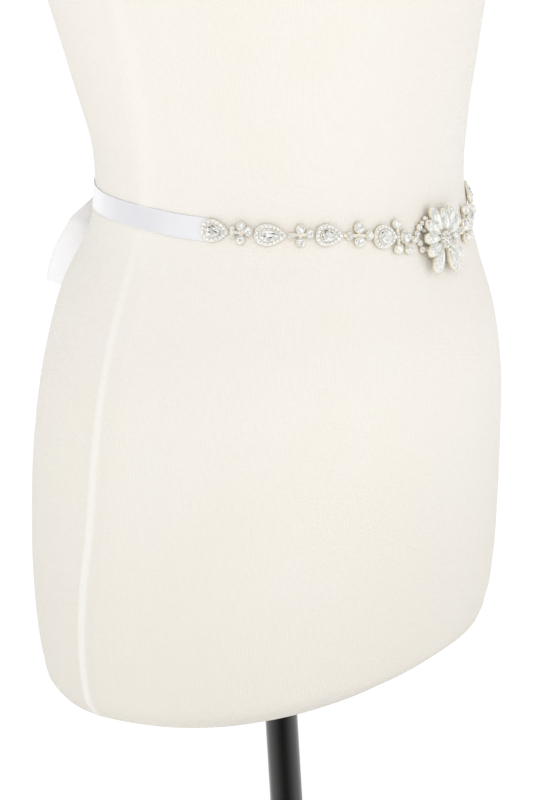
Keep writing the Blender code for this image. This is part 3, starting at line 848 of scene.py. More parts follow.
@dataclass(frozen=True)
class BlackFinish(Finish):
    """Black enamel on steel, with a fine orange peel."""

    name: str = "black enamel"
    slot: str = "stand_black"
    roughness: float = 0.20
    specular: float = 0.28
    deep: tuple = (0.004, 0.0038, 0.0035, 1.0)
    dusty: tuple = (0.009, 0.0085, 0.008, 1.0)
    patch_scale: float = 60.0
    patch_roughness: float = 0.1
    peel_scale: float = 1400.0
    peel_strength: float = 0.15
    peel_depth: float = 0.0001

    def paint(self, board: NodeBoard, shader: Node, effects: SharedEffects) -> None:
        """Adds patches that are a little duller, and the peel."""
        place = board.place()
        values = {"Vector": place, "Scale": self.patch_scale, "Low": self.deep, "High": self.dusty}
        patches = board.group(effects.mottle, values)
        board.join(patches.outputs["Colour"], shader, "Base Color")
        mask = patches.outputs["Mask"]
        rough = board.math("MULTIPLY_ADD", mask, self.patch_roughness, self.roughness)
        board.join(rough, shader, "Roughness")
        peel = board.add("ShaderNodeTexNoise", {"Vector": place, "Scale": self.peel_scale})
        board.relief(shader, peel.outputs["Fac"], self.peel_strength, self.peel_depth)


@dataclass(frozen=True)
class TubeFinish(BlackFinish):
    """Black enamel on a drawn tube, with painted highlights: glossy bands along it that stand for the
    lights' reflections, with duller ones between them.
    """

    name: str = "black enamel tube"
    specular: float = 0.10
    coat_roughness: float = 0.16
    coat_ior: float = 1.78
    deep: tuple = (0.002, 0.0016, 0.0012, 1.0)
    dusty: tuple = (0.005, 0.0042, 0.0036, 1.0)
    # The bands of painted highlight round the tube.
    bands: int = 3
    band_turn: float = -math.pi / 2
    streak_scale: float = 700.0
    streak_stretch: tuple = (1.0, 1.0, 0.004)
    streak_share: tuple[float, float] = (0.6, 0.62)

    def paint(self, board: NodeBoard, shader: Node, effects: SharedEffects) -> None:
        """Adds a clear coat to the enamel, thick on the bands of painted highlight."""
        super().paint(board, shader, effects)
        place = board.place()
        # Painted highlight: the coat is strong in bands fixed round the tube, standing for the
        # reflections of the lights, broken up by streaks.
        turn = board.add("ShaderNodeTexGradient", {"Vector": place}, gradient_type="RADIAL")
        angle = board.math("MULTIPLY_ADD", turn.outputs["Fac"], math.tau * self.bands, self.band_turn)
        band = board.math("MULTIPLY_ADD", board.math("COSINE", angle), -0.5, 0.5)
        stretched = board.add("ShaderNodeMapping", {"Vector": place, "Scale": self.streak_stretch})
        values = {"Vector": stretched.outputs[0], "Scale": self.streak_scale}
        streaks = board.add("ShaderNodeTexNoise", values)
        amount = board.math("MULTIPLY_ADD", streaks.outputs["Fac"], *self.streak_share)
        board.join(board.math("MULTIPLY", band, amount), shader, "Coat Weight")


class Wardrobe:
    """Every finish as a material, built once."""

    def __init__(self) -> None:
        """Builds the shared effects and the materials."""
        effects = SharedEffects()
        # The milky stones' facets are painted with paler reflections.
        milky = StoneFinish(
            name="milky stone",
            roughness=0.1,
            dark=(0.50, 0.49, 0.43, 1.0),
            grey=(0.60, 0.61, 0.565, 1.0),
            bright=(0.95, 0.95, 0.92, 1.0),
            dark_share=0.08,
        )
        finishes = {
            "jersey": JerseyFinish(),
            "satin": SatinFinish(),
            StoneKind.CLEAR: StoneFinish(),
            StoneKind.MILKY: milky,
            "setting": SettingFinish(),
            "black": BlackFinish(),
            "tube": TubeFinish(),
        }
        self.slots = {key: finish.slot for key, finish in finishes.items()}
        self.materials = {key: finish.material(effects) for key, finish in finishes.items()}


def grow_edges(shape: BMesh, corners: list, edges: list) -> tuple[list, list]:
    """Extrudes a row of edges.

    Args:
        shape: The mesh being made.
        corners: The row's vertices in order.
        edges: The row's edges in order.

    Returns:
        The new row's vertices and edges in the same order.
    """
    grown = bmesh.ops.extrude_edge_only(shape, edges=edges)["geom"]
    fresh = {g for g in grown if isinstance(g, bmesh.types.BMVert)}
    new_corners = []
    for corner in corners:
        others = (edge.other_vert(corner) for edge in corner.link_edges)
        new_corners.append(next(other for other in others if other in fresh))
    links = {frozenset(g.verts): g for g in grown if isinstance(g, bmesh.types.BMEdge)}
    step = {corner: new for corner, new in zip(corners, new_corners)}
    new_edges = [links[frozenset((step[e.verts[0]], step[e.verts[1]]))] for e in edges]
    return new_corners, new_edges


def loft(shape: BMesh, rows: Sequence[Sequence[Vector]], closed: bool) -> list[list]:
    """Extrudes the first row of points through the others.

    Args:
        shape: The mesh being made.
        rows: Rows of the same number of points.
        closed: Whether each row is a ring.

    Returns:
        The vertices, row by row.
    """
    corners = [shape.verts.new(p) for p in rows[0]]
    partners = corners[1:] + corners[:1] if closed else corners[1:]
    edges = [shape.edges.new(pair) for pair in zip(corners, partners)]
    made = [corners]
    for row in rows[1:]:
        corners, edges = grow_edges(shape, corners, edges)
        for corner, point in zip(corners, row):
            corner.co = point
        made.append(corners)
    return made


def close_ends(shape: BMesh) -> None:
    """Fills the open ends of a lofted shape."""
    bmesh.ops.holes_fill(shape, edges=[e for e in shape.edges if e.is_boundary])


def close_rims(shape: BMesh, made: list[list]) -> None:
    """Fills the first and the last ring of one lofted shape among others."""
    for ring in (made[0], made[-1]):
        rim = dict.fromkeys(e for v in ring for e in v.link_edges if e.is_boundary)
        bmesh.ops.holes_fill(shape, edges=list(rim))


def paint_rows(made: list[list], layer: BMLayerItem, values: Sequence[float]) -> None:
    """Gives each row of a lofted shape its own value of a mask."""
    for row, value in zip(made, values):
        for corner in row:
            corner[layer] = value


def new_cloth(mask: str) -> BMesh:
    """Starts an empty mesh that has a mask and a map in metres.

    Args:
        mask: The mask's name.

    Returns:
        The mesh.
    """
    shape = bmesh.new()
    shape.verts.layers.float.new(mask)
    shape.loops.layers.uv.new("weave")
    return shape


def map_weave(
    shape: BMesh, made: list[list], rows: Sequence[float], columns: Sequence[float], girth: float
) -> None:
    """Lays the map over a lofted shape.

    Args:
        shape: The mesh.
        made: Its vertices, row by row.
        rows: The map's second coordinate for each row.
        columns: The map's first coordinate for each column.
        girth: What is added past the seam of closed rows, or 0.
    """
    layer = shape.loops.layers.uv["weave"]
    place = {
        corner: (columns[j], rows[i]) for i, row in enumerate(made) for j, corner in enumerate(row)
    }
    for face in shape.faces:
        across = [place[loop.vert][0] for loop in face.loops]
        wraps = girth > 0 and max(across) - min(across) > girth / 2
        for loop, u in zip(face.loops, across):
            shifted = u + girth if wraps and u < girth / 2 else u
            loop[layer].uv = (shifted, place[loop.vert][1])


def finish_piece(
    name: str,
    shape: BMesh,
    wardrobe: Wardrobe,
    finish: str | StoneKind,
    smooth_angle: float = math.radians(40),
) -> Object:
    """Turns a shape into a piece that rides on the frame.

    Args:
        name: The piece's name.
        shape: Its mesh, which is freed.
        wardrobe: The finishes.
        finish: Its finish in the wardrobe.
        smooth_angle: The angle past which an edge stays sharp.

    Returns:
        The piece.
    """
    mesh = bpy.data.meshes.new(name)
    shape.to_mesh(mesh)
    shape.free()
    mesh.shade_smooth()
    mesh.set_sharp_from_angle(angle=smooth_angle)
    mesh.materials.append(wardrobe.materials[finish])
    piece = bpy.data.objects.new(name, mesh)
    bpy.context.scene.collection.objects.link(piece)
    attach(piece, BODY)
    LOG.info("%s: %d faces", name, len(mesh.polygons))
    return piece


@dataclass
class Torso:
    """The padded form under its jersey cover, with its side seams."""

    surface: FormSurface
    wardrobe: Wardrobe
    columns: int = 112
    ring_step: float = 0.005
    first_rings: tuple[float, ...] = (0.0006, 0.0015, 0.003)
    arm_half_width: float = 0.172
    arm_lean: float = math.radians(6)
    arm_level: float = 0.300
    arm_softness: float = 0.0022
    softest: float = 60.0
    neck_edge: float = 0.004
    neck_rings: int = 4
    seam_half_width: float = 0.0036
    seam_columns: tuple[float, ...] = (-1.6, -1.0, -0.7, -0.35, -0.1, 0.0, 0.1, 0.35, 0.7, 1.0, 1.6)
    seam_clearance: float = 2.6
    seam_ridge: float = 1.4
    seam_rise: float = 0.00045
    seam_gully: float = 0.3
    seam_groove: float = 0.00008
    seam_edge: float = 1.6
    faint_seam: float = 0.22
    faint_above: float = 0.005
    clear_after: float = 0.06
    girth: float = 0.870
    belt_level: float = 0.008
    belt_reach: float = 0.018

    def seam_offsets(self) -> list[float]:
        """Distances of the extra columns from the seam's middle."""
        return [share * self.seam_half_width for share in self.seam_columns]

    def seam_height(self, offset: float) -> float:
        """How far the seam stands out at a distance from its middle."""
        ridge = bell(offset, 0, self.seam_half_width * self.seam_ridge) * self.seam_rise
        return ridge - bell(offset, 0, self.seam_half_width * self.seam_gully) * self.seam_groove

    def seam_strength(self, height: float) -> float:
        """How clearly the seam's allowance shows through, which is least above the waist."""
        below = min(1.0, max(0.0, (self.faint_above - height) / self.clear_after))
        return self.faint_seam + (1 - self.faint_seam) * below

    def turns(self, height: float, seam: float) -> list[tuple[float, float]]:
        """Works out a ring's columns.

        Args:
            height: The ring's height above the waist.
            seam: The seam's turn at that height.

        Returns:
            The turn of each column and its distance from the nearest seam.
        """
        _, front, back = self.surface.sections.at(height)
        radius = (front + back) / 2
        clear = self.seam_half_width * self.seam_clearance / radius
        arcs = ((-seam + clear, seam - clear), (seam + clear, math.tau - seam - clear))
        count, far = self.columns // 2, math.inf
        found = []
        for (start, end), seam_turn in zip(arcs, (seam, -seam)):
            found += [(start + (end - start) * i / (count - 1), far) for i in range(count)]
            found += [(seam_turn + offset / radius, offset) for offset in self.seam_offsets()]
        return found

    def shaped(self, point: Vector) -> Vector:
        """Flattens the sides where arms would start, with a soft edge.

        Args:
            point: A point of the full form.

        Returns:
            The point, or its place on the flat end.
        """
        level = point.z - self.surface.waist_height - self.arm_level
        limit = self.arm_half_width - level * math.tan(self.arm_lean)
        over = min((abs(point.x) - limit) / self.arm_softness, self.softest)
        kept = max(abs(point.x) - self.arm_softness * math.log1p(math.exp(over)), 0.0)
        return Vector((math.copysign(kept, point.x), point.y, point.z))

    def ring_heights(self) -> list[float]:
        """Heights of the rings, from the underside to the neck's edge."""
        lowest, highest = FORM_SECTIONS[0].height * MM, FORM_SECTIONS[-1].height * MM
        steps = round((highest - lowest) / self.ring_step)
        even = [lowest + (highest - self.neck_edge - lowest) * i / steps for i in range(steps + 1)]
        return sorted(even + [lowest + rise for rise in self.first_rings])

    def body_rings(self, seams: SmoothTable) -> list[list[Vector]]:
        """The rings up to the neck's edge, with the seams pressed flat under the belt."""
        rings = []
        for height in self.ring_heights():
            pressed = 1 - bell(height, self.belt_level, self.belt_reach)
            ring = []
            for turn, offset in self.turns(height, float(seams.at(height)[0])):
                rise = self.surface.outward(turn, height) * self.seam_height(offset) * pressed
                ring.append(self.shaped(self.surface.point(turn, height) + rise))
            rings.append(ring)
        return rings

    def neck_rim(self, top: list[Vector]) -> list[list[Vector]]:
        """The rings that round the neck's upper edge."""
        middle = sum(top, Vector()) / len(top)
        rings = []
        for i in range(1, self.neck_rings + 1):
            angle = math.pi / 2 * i / self.neck_rings
            inset = self.neck_edge * (1 - math.cos(angle))
            rise = Vector((0, 0, self.neck_edge * math.sin(angle)))
            rings.append([p + (middle - p).normalized() * inset + rise for p in top])
        return rings

    def column_places(self, columns: list[tuple[float, float]]) -> list[float]:
        """Where the map puts each column, at the waist's turns and the hips' girth."""
        turns = [turn % math.tau for turn, _ in columns]
        return [((turn - turns[0]) % math.tau) / math.tau * self.girth for turn in turns]

    def mark_seam(self, shape: BMesh, made: list[list], columns: list[tuple[float, float]]) -> None:
        """Marks the strips where the seams' allowance shows through."""
        mask = shape.verts.layers.float["seam"]
        for row in made:
            for corner, (_, offset) in zip(row, columns):
                strip = min(1.0, fade(abs(offset), self.seam_half_width) * self.seam_edge)
                corner[mask] = strip * self.seam_strength(corner.co.z - self.surface.waist_height)

    def build(self) -> Object:
        """Builds the cover as one closed skin.

        Returns:
            The piece.
        """
        seams = SmoothTable(SEAM_ROWS)
        rings, heights = self.body_rings(seams), self.ring_heights()
        rings += self.neck_rim(rings[-1])
        rim_steps = range(1, self.neck_rings + 1)
        heights += [heights[-1] + self.neck_edge * i / self.neck_rings for i in rim_steps]
        shape = new_cloth("seam")
        made = loft(shape, rings, closed=True)
        columns = self.turns(0.0, float(seams.at(0)[0]))
        map_weave(shape, made, heights, self.column_places(columns), self.girth)
        self.mark_seam(shape, made, columns)
        close_ends(shape)
        bmesh.ops.recalc_face_normals(shape, faces=shape.faces)
        piece = finish_piece("form_cover", shape, self.wardrobe, "jersey")
        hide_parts("form_torso")
        return piece


@dataclass
class Stand:
    """The round plate, its collar and the pole."""

    wardrobe: Wardrobe
    segments: int = 128
    edge_steps: int = 5
    base_edge: float = 0.0025
    base_chamfer: float = 0.0005
    collar_edge: float = 0.0015
    collar_play: float = 0.0003
    sharp_from: float = math.radians(32)

    def turned(
        self, name: str, profile: list[tuple[float, float]], node: str, finish: str = "black"
    ) -> Object:
        """Spins a profile round the pole.

        Args:
            name: The piece's name.
            profile: Radius and height of each point, from the axis out and back to it.
            node: The node that it stands for.
            finish: Its finish in the wardrobe.

        Returns:
            The piece.
        """
        shape = bmesh.new()
        corners = [shape.verts.new((radius, 0, height)) for radius, height in profile]
        geom = corners + [shape.edges.new(pair) for pair in zip(corners, corners[1:])]
        turn = {"axis": (0, 0, 1), "cent": (0, 0, 0), "angle": math.tau, "steps": self.segments}
        bmesh.ops.spin(shape, geom=geom, use_merge=True, **turn)
        bmesh.ops.remove_doubles(shape, verts=shape.verts, dist=1e-6)
        bmesh.ops.recalc_face_normals(shape, faces=shape.faces)
        piece = finish_piece(name, shape, self.wardrobe, finish, self.sharp_from)
        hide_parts(node)
        return piece

    def rounded_corner(self, radius: float, height: float, edge: float) -> list[tuple[float, float]]:
        """Points of a rounded upper edge, from the outside in."""
        angles = [math.pi / 2 * i / self.edge_steps for i in range(self.edge_steps + 1)]
        inner, lower = radius - edge, height - edge
        return [(inner + edge * math.cos(a), lower + edge * math.sin(a)) for a in angles]

    def build(self) -> None:
        """Builds the three pieces from the frame's sizes."""
        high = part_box("stand_base")[1]
        plate = [(0, 0), (high.x - self.base_chamfer, 0), (high.x, self.base_chamfer)]
        plate += self.rounded_corner(high.x, high.z, self.base_edge) + [(0, high.z)]
        self.turned("stand_plate", plate, "stand_base")

        low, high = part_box("stand_pole")
        pole = [(0, low.z), (high.x, low.z), (high.x, high.z), (0, high.z)]
        self.turned("stand_tube", pole, "stand_pole", "tube")
        bore = high.x + self.collar_play

        low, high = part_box("stand_collar")
        collar = [(bore, low.z), (high.x, low.z)]
        collar += self.rounded_corner(high.x, high.z, self.collar_edge)
        collar += [(bore, high.z), (bore, low.z)]
        self.turned("stand_sleeve", collar, "stand_collar")


@dataclass
class RibbonMaker:
    """Makes thin satin strips through pairs of edge points."""

    wardrobe: Wardrobe
    width: float = 0.0127
    wall: float = 0.0003
    columns: int = 12
    selvedge: float = 0.0006
    selvedge_rise: float = 0.00012
    selvedge_shade: float = 0.00096
    sharp_from: float = math.radians(50)

    def strip(
        self,
        name: str,
        edges: list[tuple[Vector, Vector]],
        crease: Callable[[float, float], float],
        node: str,
        held: str,
        rests_on: Sequence[str],
        start: float = 0.0,
    ) -> Object:
        """Args:
            name: The piece's name.
            edges: Its two edge points at each step.
            crease: Height out of the strip, from the share across and the distance along.
            node: The node that it stands for.
            held: How it is held; not used.
            rests_on: What it rests on; not used.
            start: Where its map starts along the ribbon.

        Returns:
            The piece.
        """
        middles = [(a + b) / 2 for a, b in edges]
        reached = [0.0]
        for here, there in zip(middles, middles[1:]):
            reached.append(reached[-1] + (there - here).length)
        shares = [i / self.columns for i in range(self.columns + 1)]
        rims = [min(share, 1 - share) * self.width for share in shares]
        points = []
        for i, (first, second) in enumerate(edges):
            before, after = middles[max(i - 1, 0)], middles[min(i + 1, len(middles) - 1)]
            outward = (second - first).cross(after - before).normalized()
            row = []
            for share, rim in zip(shares, rims):
                rise = crease(share, reached[i]) + self.selvedge_rise * bell(rim, 0, self.selvedge)
                row.append(first.lerp(second, share) + outward * rise)
            points.append(row)
        shape = new_cloth("selvedge")
        made = loft(shape, points, closed=False)
        places = [distance + start for distance in reached]
        map_weave(shape, made, places, [share * self.width for share in shares], 0)
        mask = shape.verts.layers.float["selvedge"]
        for row in made:
            for corner, rim in zip(row, rims):
                corner[mask] = bell(rim, 0, self.selvedge_shade)
        bmesh.ops.recalc_face_normals(shape, faces=shape.faces)
        bmesh.ops.solidify(shape, geom=shape.faces[:], thickness=self.wall)
        piece = finish_piece(name, shape, self.wardrobe, "satin", self.sharp_from)
        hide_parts(node)
        return piece


@dataclass
class BeltRibbon:
    """The ribbon from each end of the applique round to the knot."""

    belt: BeltLine
    maker: RibbonMaker
    knot_width: float = 0.014
    out: float = 0.00054
    out_above: float = 0.00040
    step: float = 0.003
    gap: float = 0.0003
    pinched_width: float = 0.009
    pinch_length: float = 0.030
    cup: float = 0.00015
    fold_depth: float = 0.0009
    fold_turns: float = 1.5
    fold_start: float = 0.6
    ripple_depth: float = 0.00014
    ripple_rate: float = 95.0
    ripple_lean: float = 1.4
    tuck: float = 0.005
    tucked_out: float = 0.00036
    tuck_ease: tuple[float, float] = (0.9, 1.5)
    knot_out: float = 0.0012
    gather_power: float = 1.5

    def crease(self, length: float) -> Callable[[float, float], float]:
        """Gives the ribbon's relief: a slight cup, and folds where it goes into the knot."""

        def relief(share: float, along: float) -> float:
            """Height out of the strip at a place on it."""
            gather = fade(length - along, self.pinch_length, self.gather_power)
            fold = self.fold_depth * math.sin(share * math.tau * self.fold_turns + self.fold_start)
            wave = math.sin(along * self.ripple_rate + share * self.ripple_lean)
            ripple = self.ripple_depth * wave * bell(share, 0.2, 0.9)
            return self.cup * bell(share, 0.5, 0.7) + fold * gather + ripple

        return relief

    def build(self, side: Side) -> Object:
        """Builds one side's ribbon.

        Args:
            side: The wearer's side.

        Returns:
            The piece.
        """
        plate = PEAR_PLATES["pear_outer"]
        reach = (plate.distance + plate.length / 2) * MM + self.gap
        start = side.value * (reach - self.tuck) + APPLIQUE_CENTRE
        end = side.value * (self.belt.half_girth - self.knot_width / 2 - self.gap)
        steps = round(abs(end - start) / self.step)
        edges = []
        for i in range(steps + 1):
            along = start + (end - start) * i / steps
            pinch = fade(abs(end - along), self.pinch_length, 2)
            half = (self.maker.width + (self.pinched_width - self.maker.width) * pinch) / 2
            past = abs(along - start) / self.tuck
            eased = smooth_step((past - self.tuck_ease[0]) / self.tuck_ease[1])
            lifted = self.knot_out * fade(abs(end - along), self.pinch_length, self.gather_power)
            below, above = (
                self.tucked_out + (out - self.tucked_out) * eased + lifted
                for out in (self.out, self.out_above)
            )
            pair = (self.belt.point(along, -half, below), self.belt.point(along, half, above))
            edges.append(pair if side is Side.RIGHT else pair[::-1])
        name, node = f"ribbon_band_{side.word}", f"ribbon_{side.word}"
        relief = self.crease(abs(end - start))
        return self.maker.strip(name, edges, relief, node, "stretched", ["form_cover"])


@dataclass
class Bow:
    """The knot at the centre back, its two loops and its two tails."""

    surface: FormSurface
    maker: RibbonMaker
    wardrobe: Wardrobe
    steps_per_row: int = 6
    cut_start: float = 0.09
    loop_clearance: float = 0.0026
    crease_place: float = 0.046
    crease_slant: float = 0.007
    crease_reach: float = 0.008
    crease_depth: float = 0.0034
    fold_reach: float = 0.020
    fold_depth: float = 0.0006
    fold_turns: float = 1.5
    fold_start: float = 0.4
    tail_slant: float = 0.010
    tail_fold_reach: float = 0.05
    tail_fold_depth: float = 0.0011
    knot_height: float = 0.016
    knot_size: tuple[float, float, float] = (0.014, 0.010, 0.018)
    knot_standoff: float = 0.0018
    knot_waist: float = 0.28
    knot_fold: float = 0.12
    knot_fold_turns: float = 1.25
    knot_roundness: float = 0.8
    knot_twist: float = 0.0012
    knot_map_share: float = 1.2
    knot_wrap_share: float = 0.74
    knot_rings: int = 17
    knot_points: int = 40

    def back_frame(self, sideways: float, height: float) -> tuple[Vector, Vector]:
        """Point on the form's back and its outward direction."""
        turn = self.surface.back_turn(sideways, height)
        return self.surface.point(turn, height), self.surface.outward(turn, height)

    def loop_relief(self, side: Side, length: float) -> Callable[[float, float], float]:
        """Gives a loop's relief."""

        def relief(share: float, along: float) -> float:
            """A slanting crease, and folds that fan out of the knot at both ends."""
            middle = self.crease_place + self.crease_slant * share
            crease = self.crease_depth * fade(abs(along - middle), self.crease_reach)
            ends = fade(along, self.fold_reach) + fade(length - along, self.fold_reach)
            folds = math.sin(share * math.tau * self.fold_turns + self.fold_start) * ends**1.5
            return side.value * crease + self.fold_depth * folds

        return relief

    def build_loop(self, side: Side) -> Object:
        """Builds a drooping loop, which leaves the knot flat and then stands on its edge.

        Args:
            side: The wearer's side.

        Returns:
            The piece.
        """
        path = smooth_rows(LOOP_ROWS, self.steps_per_row)
        frames = [self.back_frame(side.value * p.side * MM, p.height * MM) for p in path]
        edges = []
        for i, (row, (point, outward)) in enumerate(zip(path, frames)):
            before, after = frames[max(i - 1, 0)][0], frames[min(i + 1, len(path) - 1)][0]
            heading = (after - before).normalized()
            flat = outward.cross(heading).normalized() * -side.value
            standing = math.radians(row.standing)
            half = (flat * math.cos(standing) + outward * math.sin(standing)) * row.width * MM / 2
            lift = self.loop_clearance + row.width * MM / 2 * math.sin(standing)
            middle = point + outward * lift
            edges.append((middle - half, middle + half))
        length = sum((b[0] + b[1] - a[0] - a[1]).length / 2 for a, b in zip(edges, edges[1:]))
        node, rests_on = f"bow_loop_{side.word}", ["form_cover"]
        name, relief = f"{node}_satin", self.loop_relief(side, length)
        return self.maker.strip(name, edges, relief, node, "folded", rests_on, self.cut_start)

    def tail_relief(self, share: float, along: float) -> float:
        """A fold down the middle of a tail that fades below the knot."""
        return self.tail_fold_depth * bell(share, 0.42, 0.3) * fade(along, self.tail_fold_reach)

    def build_tail(self, side: Side) -> Object:
        """Builds a tail that hangs down the back and ends in a slanting cut.

        Args:
            side: The wearer's side.

        Returns:
            The piece.
        """
        path = smooth_rows(TAIL_ROWS[side.word], self.steps_per_row)
        edges = []
        for i, row in enumerate(path):
            slant = self.tail_slant * fade(len(path) - 1 - i, self.steps_per_row) / 2
            half = row.width * MM / 2
            pair = []
            for across in (-half, half):
                lean = slant if across * side.value > 0 else -slant
                point, outward = self.back_frame(row.side * MM + across, row.height * MM + lean)
                pair.append(point + outward * row.standoff * MM)
            edges.append(tuple(pair))
        node, rests_on = f"bow_tail_{side.word}", ["bow_knot_satin", "form_cover"]
        name, relief = f"{node}_satin", self.tail_relief
        return self.maker.strip(name, edges, relief, node, "hung", rests_on, self.cut_start)

    def knot_ring(self, across: float) -> list[Vector]:
        """One ring of the knot, at a place from -1 to 1 across it."""
        width, depth, tall = self.knot_size
        fold = math.cos(across * math.tau * self.knot_fold_turns) ** 2
        girth = (1 - abs(across) ** 3 * self.knot_waist) * (1 - self.knot_fold * fold)
        ring = []
        for j in range(self.knot_points):
            angle = math.tau * j / self.knot_points
            y, z = (
                size / 2 * girth * math.copysign(abs(turn) ** self.knot_roundness, turn)
                for size, turn in ((depth, math.cos(angle)), (tall, math.sin(angle)))
            )
            lean = self.knot_twist * math.sin(angle) * (1 - abs(across))
            ring.append(Vector((across * width / 2 + lean, y, z)))
        return ring

    def build_knot(self) -> Object:
        """Builds the wrapped knot: a short barrel of folds that run round it.

        Returns:
            The piece.
        """
        width, depth, tall = self.knot_size
        point, outward = self.back_frame(0.0, self.knot_height)
        upward = Vector((1, 0, 0)).cross(outward).normalized()
        turned = Matrix((outward.cross(upward), outward, upward)).transposed().to_4x4()
        turned.translation = point + outward * (self.knot_standoff + depth / 2)
        places = [-1 + 2 * i / (self.knot_rings - 1) for i in range(self.knot_rings)]
        shape = new_cloth("selvedge")
        made = loft(shape, [[turned @ p for p in self.knot_ring(x)] for x in places], closed=True)
        half_girth = tall * self.knot_map_share * math.pi / 2
        girths = [half_girth * j / self.knot_points for j in range(self.knot_points)]
        widths = [width * i / self.knot_rings for i in range(self.knot_rings)]
        map_weave(shape, made, widths, girths, 0)
        close_ends(shape)
        bmesh.ops.recalc_face_normals(shape, faces=shape.faces)
        piece = finish_piece("bow_knot_satin", shape, self.wardrobe, "satin")
        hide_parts("bow_knot")
        return piece

    def build(self) -> None:
        """Builds every piece of the bow."""
        self.build_knot()
        for side in Side:
            self.build_loop(side)
            self.build_tail(side)


def stone_outline(
    length: float, width: float, taper: float, points: int, shift: float = 0.5
) -> list[tuple[float, float]]:
    """Works out the outline of a stone: an oval, or a pear whose pointed end is at +X.

    Args:
        length: Its length.
        width: Its width.
        taper: 0 for an oval, and more for a pear.
        points: How many points it has.
        shift: Where the first point lies, as a share of the step between two.

    Returns:
        The points.
    """
    angles = [math.tau * (i + shift) / points for i in range(points)]
    shares = [math.sin(a) * ((1 - math.cos(a)) / 2) ** taper for a in angles]
    widest = max(math.sin(a) * ((1 - math.cos(a)) / 2) ** taper for a in np.linspace(0, math.pi, 60))
    return [(length / 2 * math.cos(a), width / 2 * s / widest) for a, s in zip(angles, shares)]


@dataclass
class StoneShape:
    """Size of a stone in its setting, in metres, with its pointed end at +X."""

    length: float
    width: float
    taper: float
    low: float
    top: float

    def outline(self, points: int, inset: float = 0.0, shift: float = 0.5) -> list[tuple[float, float]]:
        """The outline, moved in by a distance."""
        length, width = self.length - 2 * inset, self.width - 2 * inset
        return stone_outline(length, width, self.taper, points, shift)


def round_stone(across: float, low: float, top: float) -> StoneShape:
    """The size of a round stone."""
    return StoneShape(across, across, 0, low, top)


